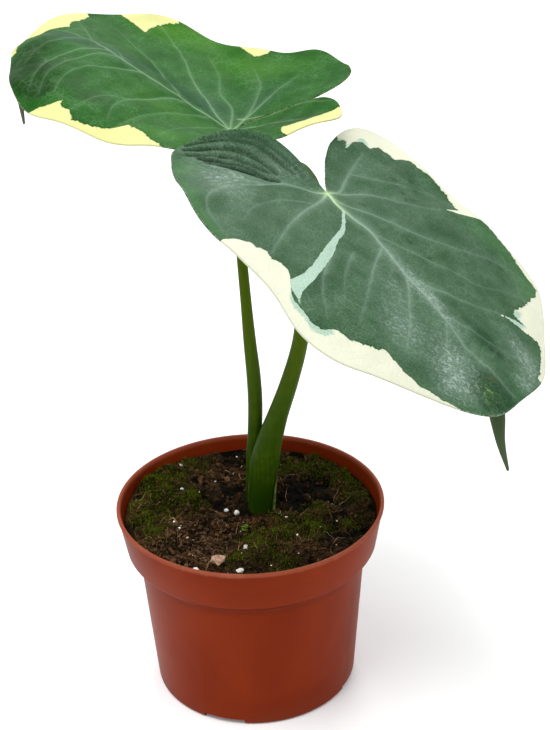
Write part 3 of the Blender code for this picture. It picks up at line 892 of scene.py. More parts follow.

# %% [markdown]
# ### Waxy olive green
#
# The stalks are a dark olive green that pales a little upward, with fine lines
# along their length and a satin, slightly waxy skin. Noise that is stretched along
# Z gives the lines, and the height gives the change of tone. The foot, near the
# soil and the rim, is also painted darker as shade.

# %% The stalks' finish
waxy = Finish("waxy_stalk")
where = waxy.place()
height = waxy.node("SeparateXYZ", None, {0: where}, output=2)
stretched = waxy.node("Mapping", None, {0: where, 3: (900.0, 900.0, 30.0)})
lines = waxy.noise(1.0, 3.0, 0.6, where=stretched)
mottled = waxy.noise(160.0, 4.0, 0.6)
green = waxy.mix((0.022, 0.054, 0.001), (0.058, 0.098, 0.001), height.fade(0.10, 0.20))
green = waxy.mix(green, (0.084, 0.130, 0.003), (lines * 0.5 + mottled * 0.6).fade(0.5, 0.75) * 0.35)
# Painted shade: the foot, near the soil and inside the rim, is darker.
green = waxy.mix(green, (0.008, 0.032, 0.001), (1.0 - height.fade(0.086, 0.11)) * 0.6)
green = waxy.mix(green, (0.050, 0.070, 0.032), height.fade(0.243, 0.256) * 0.7)
for stalk, node in ((stalk_front, "petiole_front"), (stalk_back, "petiole_back")):
    stalk.data.materials.clear()
    stalk.data.materials.append(waxy.material)
    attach(stalk, "root")
    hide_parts(node)
waxy.surface(Base_Color=green, Roughness=lines * 0.12 + mottled * 0.12 + 0.30,
             Specular_IOR_Level=0.05, Normal=waxy.bump(lines, 0.0002, 0.4))
print("nodes in the stalks' finish:", len(waxy.tree.nodes))

# %% [markdown]
# ### The sheath's pale edges and a dry sliver
#
# Where the front stalk wraps the back one, the sheath thins to a pale edge. The
# edge lies where the front stalk's round section meets the groove, which is where
# two circles cross, so it is worked out height by height. To the right of the foot
# a dry sliver of an older sheath still stands.

# %% Where two circles cross, height by height
def crossing(height, side):
    """A point on the sheath's edge; side is 1 for the left one and -1 for the right."""
    centres, radii = [], []
    for stations in (FRONT_STALK[:8], BACK_STALK[:8]):
        heights = [place[2] for place, _ in stations]
        centres.append(through(heights, [place[:2] for place, _ in stations], height)[0])
        radii.append(float(through(heights, [radius for _, radius in stations], height)[0]))
    apart = centres[1] - centres[0]
    gap = float(np.hypot(*apart))
    reach = (radii[0] ** 2 - (radii[1] + 0.3) ** 2 + gap ** 2) / (2 * gap)
    half = math.sqrt(max(radii[0] ** 2 - reach ** 2, 0.0))
    over = np.array((-apart[1], apart[0])) / gap
    x, y = centres[0] + apart / gap * reach + over * half * side
    return (float(x), float(y), height)


def sheath_edge(name, side):
    heights = np.linspace(84.0, 121.0, 14)
    stations = [(crossing(float(z), side), 0.42 - 0.012 * k) for k, z in enumerate(heights)]
    return tube(name, stations, spacing=1.0, sides=3)


SLIVER = (((10.4, 0.6, 82.5), 0.55), ((10.9, 0.4, 89.0), 0.6), ((11.4, 0.0, 95.0), 0.45),
          ((12.4, -0.2, 101.0), 0.15))
trims = [sheath_edge("sheath_edge_left", 1), sheath_edge("sheath_edge_right", -1),
         tube("dry_sliver", SLIVER, spacing=0.8, sides=3)]
pale_sheath = Finish("pale_sheath")
sheath_tone = pale_sheath.noise(300.0, 3.0)
pale_sheath.surface(
    Base_Color=pale_sheath.mix((0.055, 0.085, 0.012), (0.16, 0.20, 0.05),
                               sheath_tone.fade(0.35, 0.65)),
    Roughness=sheath_tone * 0.2 + 0.4, Specular_IOR_Level=0.1)
for trim in trims:
    trim.data.materials.clear()
    trim.data.materials.append(pale_sheath.material)
    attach(trim, "root")
print("trims:", [trim.name for trim in trims])

# %% [markdown]
# ## The blades
#
# A blade is a thin sheet: arrow-shaped, arched, waved at its margin, with veins
# raised below and a little sunk above. It is worked out flat first, as a sheet of
# paper would be, and then bent into place. Flat, a point is so far forward along
# the midrib and so far left of it. The bend is the solid's own rule: the slope at
# which the blade leaves its root in each direction, and how it arches further out.

# %% The two blades
FRONT_BLADE = dict(
    root=(33.7, -49.1, 255.1), heading=-56.0,
    rise=(42, 19, 16, 2, -17.5, -19.5, -14, 6),
    arch=(8, 14, 13, 20, 15, 24, 1, -5), arch_power=1.5,
    margin=((-167, 5), (-165, 17.5), (-162, 27.5), (-156, 37.5), (-145, 52),
            (-134, 59.5), (-120, 60), (-105, 61), (-89, 65), (-72, 71), (-60, 76.5),
            (-49, 85.5), (-43, 97), (-37, 104), (-28, 108), (-15, 113), (-4, 117),
            (4, 114), (17, 109), (33, 99), (45, 94.5), (54, 91), (65, 77), (80, 67.5),
            (92, 63.5), (108, 64), (122, 67.5), (130, 61.5), (138, 42), (143.5, 21.5),
            (146, 5)),
    wave=(0.9, 11, 0.4),
    tail=(((84.9, -125.2, 213.2), 2.6), ((87.2, -131.6, 204.4), 3.0),
          ((88.7, -134.1, 193.2), 1.7), ((92.2, -131.6, 179.5), 0.5)),
)
BACK_BLADE = dict(
    root=(-1.5, 31.6, 252.7), heading=163.0,
    rise=(26, 14, 10, 13, 35, 31, 21, 19),
    arch=(14, -27, -27, -13, 60, 68, 90, 58), arch_power=3.0,
    margin=((-163, 5), (-156, 28.5), (-151, 42.5), (-145, 54), (-134, 61.5),
            (-123, 66.5), (-108, 70), (-90, 69.5), (-80, 70), (-68, 79), (-58, 92),
            (-45, 101), (-35, 106), (-25, 109), (-12, 110), (0, 107), (14, 102),
            (30, 100), (42, 97.5), (55, 90.5), (67, 83), (78, 75), (88, 71.5),
            (100, 64.5), (112, 57.5), (122, 55), (134, 56.5), (144, 60.5), (151, 65),
            (157, 61), (164, 52.5), (170, 41), (175, 27.5), (180, 6)),
    wave=(1.1, 13, 1.2),
    tail=(((-87.5, 57.8, 284.7), 2.4), ((-91.5, 59.9, 276.6), 2.6),
          ((-92.5, 59.4, 263.5), 1.5), ((-91.4, 55.8, 250.9), 0.5)),
)
print("margin points:", len(FRONT_BLADE["margin"]), len(BACK_BLADE["margin"]))

# %% From flat places to the bent blade
def round_the_root(values, direction):
    """Eight values 45 degrees apart, joined smoothly all the way round."""
    values = np.asarray(values, float)
    place = (direction + 180.0) / 45.0
    i = np.floor(place).astype(int)
    t = place - i
    a, b, c, d = (values[(i + k) % 8] for k in (-1, 0, 1, 2))
    return 0.5 * (2 * b + (c - a) * t + (2 * a - 5 * b + 4 * c - d) * t ** 2
                  + (3 * b - a - 3 * c + d) * t ** 3)


def polar(blade, flat):
    """Direction in degrees and reach in millimetres of flat places."""
    direction = np.degrees(np.arctan2(flat[:, 1], flat[:, 0]))
    first, last = blade["margin"][0][0], blade["margin"][-1][0]
    gap = 360.0 - (last - first)
    direction = np.where(direction < first - gap / 2, direction + 360.0, direction)
    return direction, np.hypot(flat[:, 0], flat[:, 1])


def margin_reach(blade, direction):
    angles, radii = zip(*blade["margin"])
    return through(angles, radii, np.clip(direction, angles[0], angles[-1]))


def bend(blade, flat):
    """Points in the room for flat places on a blade."""
    direction, reach = polar(blade, flat)
    rise = round_the_root(blade["rise"], direction)[:, None]
    arch = round_the_root(blade["arch"], direction)[:, None]
    steps = 30
    walked = reach[:, None] * (np.arange(steps) + 0.5) / steps
    slope = np.radians(rise - arch * (walked / 100.0) ** blade["arch_power"])
    out = reach * np.cos(slope).mean(axis=1)
    lift = reach * np.sin(slope).mean(axis=1)
    height, cycles, phase = blade["wave"]
    share = np.clip(reach / margin_reach(blade, direction), 0.0, 1.05)
    lift = lift + height * share ** 3 * np.sin(cycles * np.radians(direction) + phase)
    compass = np.radians(direction + blade["heading"])
    moved = np.stack([out * np.cos(compass), out * np.sin(compass), lift], axis=1)
    return np.array(blade["root"]) + moved


print("front tip:", bend(FRONT_BLADE, np.array([[117.0, 0.0]])).round(1))

# %% [markdown]
# ### A fine sheet with its veins on it
#
# The sheet is triangulated from points: its outline, the lines of its main veins
# and an even grid between. Blender's Delaunay function joins them, so triangles
# are small and even, and veins fall on points rather than between them.

# %% Vein lines of the front blade, flat
FRONT_VEINS = (
    (2.0, ((0, 0), (11, 0), (22, 2), (35, 1), (50, 0), (63, 0), (77, -1), (87, -1), (96, 2),
           (106, 4), (112, 5))),
    (1.3, ((0, 0), (0, 5), (1, 18), (4, 28), (9, 38), (12, 49))),
    (1.1, ((4, 1), (8, 3), (15, 10), (23, 17), (30, 24), (37, 37), (40, 49), (45, 60))),
    (1.1, ((50, 0), (58, 6), (64, 13), (69, 23), (73, 35))),
    (1.4, ((0, 0), (-1, 6), (-8, 15), (-16, 25), (-25, 37))),
    (1.5, ((0, 0), (4, -5), (13, -20), (22, -34), (30, -44), (37, -53))),
    (1.0, ((36, -25), (43, -32), (52, -42), (59, -47), (69, -53))),
    (1.0, ((34, 1), (42, -9), (53, -21), (63, -31), (72, -41))),
    (1.1, ((50, 0), (57, -5), (69, -15), (78, -23), (87, -32))),
    (0.7, ((38, -17), (44, -24), (53, -33), (62, -40))),
    (1.4, ((0, 0), (0, -5), (-4, -9), (-8, -14), (-9, -23), (-8, -36), (-4, -47), (2, -57),
           (10, -61), (22, -63))),
    (0.8, ((-9, -23), (-15, -31), (-24, -40), (-32, -44))),
    (0.7, ((72, 0), (82, 9), (91, 17), (97, 26))),
    (0.7, ((74, 0), (86, -10), (97, -18), (103, -26))),
    (0.6, ((28, 3), (38, 12), (48, 22), (58, 34), (62, 48), (64, 58))),
    (0.7, ((-12, 20), (-8, 32), (-4, 44), (0, 54))),
    (0.6, ((8, -12), (6, -26), (10, -42), (18, -52))),
)
print("front veins:", len(FRONT_VEINS))

# %% Vein lines of the back blade, flat
BACK_VEINS = (
    (2.0, ((0, 0), (7, 1), (19, 3), (30, 4), (42, 5), (54, 4), (62, -2), (74, -11), (84, -20),
           (94, -28))),
    (1.3, ((1, 0), (16, -19), (29, -37), (39, -54), (48, -64), (57, -73))),
    (1.1, ((26, 3), (33, -12), (41, -27), (51, -39), (62, -48), (73, -57))),
    (0.8, ((54, 4), (60, -9), (67, -20), (77, -34))),
    (1.4, ((0, 0), (-5, -19), (-10, -34), (-18, -48))),
    (1.0, ((-1, -4), (-3, -16), (-3, -29), (-1, -43), (5, -54))),
    (1.0, ((1, -1), (7, -22), (13, -29), (20, -48), (28, -60))),
    (1.1, ((20, 3), (27, 12), (32, 30), (37, 44), (43, 48), (47, 57), (50, 66))),
    (0.8, ((32, 32), (35, 44), (36, 55), (34, 65))),
    (1.0, ((44, 5), (54, 18), (63, 32), (65, 44), (63, 56))),
    (0.9, ((56, 2), (66, 14), (71, 30), (72, 46), (70, 56))),
    (1.0, ((62, -2), (68, 6), (75, 18), (79, 30), (78, 42), (76, 52))),
    (0.9, ((2, 2), (3, 17), (6, 42), (12, 61))),
    (1.2, ((0, 0), (-15, 9), (-32, 20), (-50, 30))),
    (0.7, ((74, -11), (82, 0), (89, 14), (90, 28))),
    (0.7, ((10, 2), (16, 18), (20, 38), (26, 58), (30, 70))),
    (0.7, ((72, -10), (76, -24), (84, -40), (90, -50))),
)


def smooth_line(points, spacing=0.8):
    """Points at even spacing along a smooth line."""
    points = np.array(points, float)
    steps = np.linalg.norm(np.diff(points, axis=0), axis=1)
    along = np.concatenate([[0.0], np.cumsum(steps)])
    count = max(3, round(along[-1] / spacing))
    return through(along, points, np.linspace(0.0, along[-1], count))


print("back veins:", len(BACK_VEINS))

# %% Outline, grid and triangles
def outline(blade, spacing=0.8):
    """The flat margin, with the root as its last point."""
    first, last = blade["margin"][0][0], blade["margin"][-1][0]
    fine = np.linspace(first, last, 4000)
    radii = margin_reach(blade, fine)
    x, y = radii * np.cos(np.radians(fine)), radii * np.sin(np.radians(fine))
    along = np.concatenate([[0.0], np.cumsum(np.hypot(np.diff(x), np.diff(y)))])
    even = np.interp(np.linspace(0.0, along[-1], round(along[-1] / spacing)), along, fine)
    radii = margin_reach(blade, even)
    edge = np.stack([radii * np.cos(np.radians(even)), radii * np.sin(np.radians(even))], axis=1)
    return np.concatenate([edge, [[0.0, 0.0]]])


def triangulate(blade, veins, spacing):
    """Flat points and triangles of a blade."""
    edge = outline(blade)
    lines = np.concatenate([smooth_line(points) for _, points in veins])
    rows = np.arange(-130, 130, spacing * 0.866)
    grid = [(x + (k % 2) * spacing / 2, y) for k, y in enumerate(rows)
            for x in np.arange(-80, 130, spacing)]
    inner = np.concatenate([lines, grid])
    direction, reach = polar(blade, inner)
    first, last = blade["margin"][0][0], blade["margin"][-1][0]
    inside = (direction > first + 0.5) & (direction < last - 0.5)
    inside &= (reach < margin_reach(blade, direction) - spacing * 0.6) & (reach > 0.6)
    inner = inner[inside]
    kept = {}
    for point in inner:
        kept.setdefault((round(point[0] / spacing * 1.6), round(point[1] / spacing * 1.6)), point)
    points = np.concatenate([edge, np.array(list(kept.values()))])
    loop = [(i, (i + 1) % len(edge)) for i in range(len(edge))]
    made = delaunay_2d_cdt([Vector(p) for p in points], loop, [], 0, 0.01, False)
    flat = np.array([v[:] for v in made[0]])
    faces = np.array([tuple(face) for face in made[2]])
    direction, reach = polar(blade, flat[faces].mean(axis=1))
    on_blade = (direction > first) & (direction < last) & (reach < margin_reach(blade, direction))
    return flat, [tuple(int(i) for i in face) for face in faces[on_blade]]


flat, triangles = triangulate(FRONT_BLADE, FRONT_VEINS, 2.0)
print("a coarse trial:", len(flat), "points,", len(triangles), "triangles")

# %% [markdown]
# ### What is painted on each point
#
# Each point of the sheet carries a few numbers that the finish reads: how far it
# is inside the cream border, how near a vein it is, and so on. The cream follows
# the margin, so its inner edge is written as a distance from the root for each
# direction. Where there is no cream the number is larger than the blade. Jagged
# teeth come from noise, in the finish.

# %% The cream's inner edge, direction by direction
NONE = 140.0
FRONT_CREAM = (
    (-180, NONE), (-71, NONE), (-68, 71), (-66, 68), (-62, 64.5), (-60, 65.5), (-56, 64.5),
    (-54, 67), (-49, 68), (-47.5, 73), (-46.5, 80), (-45, 84), (-42, 87.5), (-41, 91),
    (-38, 92.5), (-36, 91), (-32, 94), (-28, 94.5), (-25, 95.5), (-23, 101), (-20, 107.5),
    (-15, 111.5), (-11, 115.5), (-8, NONE), (10, NONE), (16, 107.3), (22, 103), (26, 100.5),
    (28, 98.5), (29.2, 94), (29.8, 84), (32, 84), (35, 85.4), (41, 87.7), (47, 90), (52, 91),
    (56, 85), (65, 75.8), (74, 69.5),
    (77, 53), (79, 61), (82, 60), (90, 62), (99, 61.5), (105, 60), (109, 61), (113, 55),
    (116, 56.5), (121, 57.5), (123, 50.5), (127, 53.5), (130, 48), (131.5, 38), (133, 46),
    (137, 41), (140, NONE), (180, NONE),
)
BACK_CREAM = (
    (-180, NONE), (-92, NONE), (-89, 68), (-86, 64), (-83, 63), (-81, 65.5), (-77, 71),
    (-74, NONE), (-62, NONE), (-58, 89.5), (-51, 90), (-48, 88.5), (-46, 86), (-45, 93),
    (-43, 101), (-41, NONE), (-37, NONE), (-34, 104), (-31, 100.5), (-25, 98.5), (-20, 93.5),
    (-17, 99), (-10, 105), (0, 104), (7, 101), (11, NONE), (41, NONE), (44, 93), (46, 88),
    (47, 83), (49, 86), (50, 85.5), (52, 84), (54, 84), (57, 86), (59, 85), (62, 81.5),
    (65, 78.5), (67, 73.5), (68, 67.5), (72, 67), (76, 67.5), (78, 69.5), (81, 71), (85, 73),
    (88, NONE), (126, NONE), (131, 50), (135, 45), (142, 48.5), (149, 52), (153, 57.5),
    (158, 60), (161, NONE), (181, NONE),
)


FRONT_NOTCH = ((73.5, 34.0), (76, 38.0), (80, 43.0), (83, 47.0))
print("places on the cream's edge:", len(FRONT_CREAM), len(BACK_CREAM))

# %% Nearness to a line
def nearest_on(points, flat):
    """Distance to a smooth line, and how far along it the nearest place is, from 0 to 1."""
    line = smooth_line(points, 1.5)
    nearest, along = np.full(len(flat), 1e9), np.zeros(len(flat))
    for k in range(len(line) - 1):
        a, step = line[k], line[k + 1] - line[k]
        t = np.clip(((flat - a) @ step) / (step @ step), 0.0, 1.0)
        off = np.hypot(*(flat - a - t[:, None] * step).T)
        closer = off < nearest
        nearest = np.where(closer, off, nearest)
        along = np.where(closer, (k + t) / (len(line) - 1), along)
    return nearest, along


def cream_depth(blade, cream, notch, flat):
    """How far each place is inside the cream, in millimetres, or below zero outside it."""
    direction, reach = polar(blade, flat)
    angles, radii = zip(*cream)
    edge = np.interp(direction, angles, np.minimum(radii, 128.0))
    depth = np.clip(reach - edge, -12.0, 12.0)
    if notch:
        off_notch, along = nearest_on(notch, flat)
        depth = np.maximum(depth, 0.3 + 2.6 * along - off_notch)
    return depth


def vein_strength(veins, flat, thinning=1.0):
    """Two numbers for each place: 1 on a vein's line, and a wide soft halo round it."""
    core, halo = np.zeros(len(flat)), np.zeros(len(flat))
    for width, points in veins:
        nearest, along = nearest_on(points, flat)
        wide = 0.42 * width * (1.0 - 0.6 * thinning * along) + 0.12
        faint = np.clip((0.10 + 0.40 * width) * (1.0 - 0.7 * thinning * along), 0, 1)
        core = np.maximum(core, faint * np.exp(-(nearest / wide) ** 2))
        halo = np.maximum(halo, faint * np.exp(-(nearest / (3.2 * wide + 0.5)) ** 2))
    return core, halo


def blob(flat, x, y, long, wide, turn=0.0):
    """A soft oval patch, 1 at its middle."""
    c, s = math.cos(math.radians(turn)), math.sin(math.radians(turn))
    dx, dy = flat[:, 0] - x, flat[:, 1] - y
    u, v = dx * c + dy * s, dy * c - dx * s
    return np.exp(-(u / long) ** 2 - (v / wide) ** 2)


print("vein strength at the front root:", vein_strength(FRONT_VEINS, np.zeros((1, 2)))[0].round(2))

# %% [markdown]
# ### The mint patch, the folds and the puckers
#
# The front blade has a wedge of mint green between two veins, narrow near the root
# and wide at the cream. Its left lobe is pleated along its length. Between veins
# both blades swell a little, which the light shows as soft ripples, so the sheet
# is moved along its own normal by small amounts.

# %% Front blade: mint wedge, painted sheen and painted shade
def between_lines(flat, upper, lower):
    """Inside distance between two lines given as y for x, or below zero outside."""
    top = np.interp(flat[:, 0], [p[0] for p in upper], [p[1] for p in upper])
    low = np.interp(flat[:, 0], [p[0] for p in lower], [p[1] for p in lower])
    return np.minimum(top - flat[:, 1], flat[:, 1] - low) * 0.8


def patches(flat, *listed):
    """The sum of soft oval patches, each led by its strength."""
    return sum(strength * blob(flat, *shape) for strength, *shape in listed)


FRONT_FOLDS = (
    (3.4, ((-32, -38), (-29.5, -34), (-26, -28.5), (-23, -24.5), (-17, -20.5), (-11, -16))),
    (2.9, ((-28, -37), (-25, -32), (-21.5, -28), (-17.5, -24), (-12, -18.5))),
    (1.9, ((-39, -41), (-37, -33), (-34, -26), (-28, -20), (-22, -16.5), (-15, -13.5))),
    (1.7, ((-35, -42), (-33, -34), (-29, -26), (-23, -21), (-17, -16))),
    (1.4, ((-42, -39), (-40, -30), (-35, -22), (-29, -16), (-21, -12), (-12, -8))),
    (1.0, ((-43, -33), (-38, -24), (-33, -17), (-26, -12), (-17, -8), (-9, -5))),
)
MINT_RIGHT = ((12, -0.5), (25, -11.6), (33, -20.4), (41, -29.5), (47, -38), (52, -46), (56, -54),
              (60, -58))
MINT_LEFT = ((12, -0.5), (24, -12), (31, -21.5), (38, -31.5), (44, -40), (48, -47), (50, -56),
             (60, -58))
MINT_THREAD = ((11, 0), (15, -3.5), (20, -7.5), (25, -12), (32, -21))
print("front folds:", len(FRONT_FOLDS))

# %% What is painted on the front blade
def front_marks(flat):
    # Painted sheen: pale patches where the front blade's gloss catches the light, near the tip and
    # along the midrib.
    silver = patches(flat, (0.7, 50, 1, 20, 4), (0.8, 66, 1, 14, 4), (1.0, 91, 29, 8, 5, -20),
                     (1.0, 101, 27, 8, 5, -50), (0.9, 108, 16, 5, 5), (1.1, 93, -13, 14, 9, -30),
                     (0.8, 103, -20, 6, 8), (0.8, 77, -25, 10, 8, -30), (0.9, -16, -36, 10, 8, 60),
                     (0.8, -6, -44, 10, 8), (0.5, 60, -14, 12, 7, -30), (0.5, -14, -10, 10, 4, 40))
    # Painted shade: darker patches at the tip, on the left lobe and elsewhere.
    dusk = patches(flat, (1.3, 111, -5, 6, 9), (1.2, 105, -4, 8, 8), (0.9, 90, 13, 11, 5, 10),
                   (0.5, 30, 44, 30, 12, 35), (0.5, -18, 46, 20, 8, 20), (0.6, 52, -42, 16, 7, -50),
                   (0.35, 20, -40, 16, 8, -40), (0.5, 72, 10, 12, 5), (0.4, -28, -26, 12, 8, 55))
    spots = patches(flat, *((1.0, x, y, 1.1, 1.1) for x, y in (
        (-8, 40), (-4, 38), (0, 38), (-7, 48), (-2, 47), (5, 40), (5, 36), (44, 52), (47, 56),
        (9, 12), (34, 16), (43, 19), (113, -6), (-36, -45), (-35, -44))))
    minty = patches(flat, (1.0, 60, -57, 5, 4), (1.0, 67, -60, 5, 4), (1.0, 73, -58, 4, 4),
                    (1.0, 75, 42, 5, 7), (1.0, -28, 31, 4, 6), (0.6, -33, 43, 5, 4))
    verdant = patches(flat, (0.9, -26, -49, 8, 5, -60), (0.9, -4, -62, 12, 4, -20),
                      (0.8, 14, -66, 12, 3), (0.9, 62, 66, 22, 9, -25), (0.6, 30, 64, 14, 6, 20))
    glow = patches(flat, (1.0, 0, 0, 4.5, 4.5), (0.6, 8, 0, 7, 2.5))
    # The folds are painted dark as shade in their grooves, and pale as highlight on the ridges beside
    # them.
    folds, ridges = vein_strength(FRONT_FOLDS, flat, 0.4)
    thread, along = nearest_on(MINT_THREAD, flat)
    wedge = np.maximum(between_lines(flat, MINT_RIGHT, MINT_LEFT), 0.50 + 0.55 * along - thread)
    return {"mint": np.clip(wedge, -6, 6), "silver": silver,
            "dusk": dusk, "spots": np.clip(spots, 0, 1), "minty": np.clip(minty, 0, 1),
            "glow": glow, "fold": folds, "ridge": np.clip(ridges - folds, 0, 1),
            "verdant": np.clip(verdant, 0, 1), "blotch": patches(flat, (1.0, 107, -7, 4, 4))}


print("painted on the front blade:", sorted(front_marks(np.zeros((1, 2)))))

# %% Back blade: teal middle, end painted with shade, yellow-green top
STRIP_FOLD = ((1.0, ((0, -10), (-11, -11), (-20, -5), (-29, 2), (-41, 10), (-51, 16))),)


def back_marks(flat):
    teal = patches(flat, (0.9, 84, -6, 14, 9, -40), (1.0, 60, -4, 18, 9, -20),
                   (0.9, 36, -16, 20, 12, -15), (0.8, 14, -14, 14, 10, -50), (0.6, -6, -28, 16, 7, 75))
    # Painted shade: dark patches towards the blade's dim end.
    dusk = patches(flat, (1.4, 93, 28, 9, 14, 10), (1.4, 82, 44, 9, 9), (1.2, 72, 54, 8, 6),
                   (0.7, 90, 8, 9, 12), (0.6, 44, 54, 12, 7, 20), (0.7, -30, 20, 24, 8, -25),
                   (0.6, 74, 30, 10, 14), (0.5, 58, 46, 10, 8))
    warm = patches(flat, (1.0, 38, -72, 22, 10, 10), (0.8, 8, -56, 18, 9), (0.6, 10, 62, 14, 6),
                   (0.6, 62, -76, 18, 9, -30), (0.3, -16, -56, 12, 8),
                   (0.6, 22, 28, 20, 14))
    crease = vein_strength(STRIP_FOLD, flat)[0]
    return {"silver": np.clip(teal, 0, 1), "dusk": dusk, "warm": np.clip(warm, 0, 1),
            "crease": crease, "glow": patches(flat, (1.0, 0, 0, 4, 4))}


print("painted on the back blade:", sorted(back_marks(np.zeros((1, 2)))))

# %% Relief
def front_relief(flat, veins, halo):
    """Millimetres along the normal: pleats, ripples between veins, sunk veins."""
    x, y = flat[:, 0], flat[:, 1]
    lobe = blob(flat, -24, -27, 24, 14, 55)
    across = (y * math.cos(math.radians(42)) - x * math.sin(math.radians(42)))
    pleats = 0.35 * np.sin(across * 1.05 + 0.4)
    folds, ridges = vein_strength(FRONT_FOLDS, flat, 0.4)
    swell = 0.40 * value_noise(x, y, 9.0, 31) + 0.20 * value_noise(x, y, 4.5, 32)
    net = 0.35 * value_noise(x, y, 2.6, 33) * patches(flat, (1, 88, 0, 26, 26), (0.8, -14, -40, 14, 12))
    pleated = pleats * lobe - 1.1 * folds + 0.5 * (ridges - folds)
    return pleated + swell + net - 0.35 * veins - 0.45 * halo


def back_relief(flat, veins, halo):
    """The same for the back blade, whose near side is creased along its veins."""
    x, y = flat[:, 0], flat[:, 1]
    near_side = np.clip((y - 4) / 24, 0, 1) * np.clip((x + 5) / 20, 0, 1)
    swell = 0.45 * value_noise(x, y, 10.0, 42) + 0.22 * value_noise(x, y, 4.5, 43)
    crease = vein_strength(STRIP_FOLD, flat)[0]
    return swell - 0.30 * veins - (0.5 + 1.3 * near_side) * halo + 0.5 * crease


print("relief at the back root:", back_relief(np.zeros((1, 2)), 1.0, 1.0).round(2), "mm")

# %% [markdown]
# ### Building a blade
#
# The flat sheet is bent, pushed along its normals by the relief, and thickened
# below with the Solidify modifier. The tail that hangs from the tip is a tapered
# tube, joined to the sheet as part of one piece. So is the midrib, which stands out
# below, and so is a short neck, because a real stalk and its blade are grown together.

# %% Moving along normals, the rib and the neck
def move_along_normals(points, triangles, amount):
    """Moves each point along its own normal by an amount in millimetres."""
    corners = points[np.array(triangles)]
    normals = np.cross(corners[:, 1] - corners[:, 0], corners[:, 2] - corners[:, 0])
    summed = np.zeros_like(points)
    for k in range(3):
        np.add.at(summed, np.array(triangles)[:, k], normals)
    summed /= np.linalg.norm(summed, axis=1)[:, None] + 1e-12
    upward = np.sign(summed[:, 2:3])
    return points + summed * upward * amount[:, None]


def lower(blade, flat, depth):
    """Points at given depths below the sheet, along its own normal."""
    place = bend(blade, flat)
    ahead = bend(blade, flat + (0.5, 0.0)) - place
    aside = bend(blade, flat + (0.0, 0.5)) - place
    normal = np.cross(ahead, aside)
    normal /= np.linalg.norm(normal, axis=1)[:, None]
    return place - normal * depth[:, None]


def rib_and_neck(name, blade, midrib, stalk):
    """The midrib as it stands out below, and the short neck from stalk to blade."""
    line = smooth_line(midrib, 5.0)
    line = line[(line[:, 0] > 4.0) & (line[:, 0] < 100.0)]
    radii = np.linspace(1.3, 0.3, len(line))
    root = np.array(blade["root"])
    top, radius = min(stalk, key=lambda station: math.dist(station[0], root))
    below = [(tuple(point), wide) for point, wide in zip(lower(blade, line, radii + 0.95), radii)]
    rib = tube(name + "_rib", [(top, 0.9 * radius)] + below, spacing=1.5, sides=4)
    neck = tube(name + "_neck", ((top, radius), (tuple(root - (0.0, 0.0, 1.3)), 1.1)), sides=4)
    return rib, neck


print("below the front root:", lower(FRONT_BLADE, np.array([[5.0, 0.0]]), np.array([2.0])).round(1))

# %% Blade builder
def make_blade(name, blade, stalk, veins, cream, notch, marks, relief, spacing=0.85):
    flat, triangles = triangulate(blade, veins, spacing)
    strength, halo = vein_strength(veins, flat)
    points = bend(blade, flat)
    direction, reach = polar(blade, flat)
    inner = np.clip((margin_reach(blade, direction) - reach) / 2.0, 0.0, 1.0)
    inner *= np.clip(reach / 6.0, 0.0, 1.0)
    points = move_along_normals(points, triangles, relief(flat, strength, halo) * inner)
    first = points[np.array(triangles[0])]
    if np.cross(first[1] - first[0], first[2] - first[0])[2] < 0:
        triangles = [face[::-1] for face in triangles]
    made = mesh_object(name, points, triangles)
    paint(made.data, "cream", cream_depth(blade, cream, notch, flat))
    paint(made.data, "vein", strength)
    paint(made.data, "halo", halo)
    paint(made.data, "forward", flat[:, 0] / 100.0)
    paint(made.data, "sideways", flat[:, 1] / 100.0)
    paint(made.data, "inset", np.clip(margin_reach(blade, direction) - reach, 0.0, 20.0))
    paint(made.data, "tail", np.zeros(len(flat)))
    for key, values in marks(flat).items():
        paint(made.data, key, values)
    thick = made.modifiers.new("thickness", "SOLIDIFY")
    thick.thickness = 0.55 * MM
    thick.offset = -1.0
    thick.use_even_offset = False
    thick.use_rim = True
    bake_shape(made, 70.0)
    tail = tube(name + "_tail", blade["tail"], spacing=0.8, sides=6)
    rib, neck = rib_and_neck(name, blade, veins[0][1], stalk)
    for part, key in ((tail, "tail"), (rib, "vein"), (neck, "vein")):
        count = len(part.data.vertices)
        paint(part.data, key, np.ones(count))
        paint(part.data, "cream", np.full(count, -12.0))
        paint(part.data, "inset", np.full(count, 20.0))
    joined = [made, tail, rib, neck]
    with bpy.context.temp_override(active_object=made, object=made, selected_objects=joined,
                                   selected_editable_objects=joined):
        bpy.ops.object.join()
    print(name, "triangles:", sum(len(p.vertices) - 2 for p in made.data.polygons))
    return made


blade_front = make_blade("blade_front", FRONT_BLADE, FRONT_STALK, FRONT_VEINS, FRONT_CREAM,
                         FRONT_NOTCH, front_marks, front_relief)
blade_back = make_blade("blade_back", BACK_BLADE, BACK_STALK, BACK_VEINS, BACK_CREAM,
                        None, back_marks, back_relief)
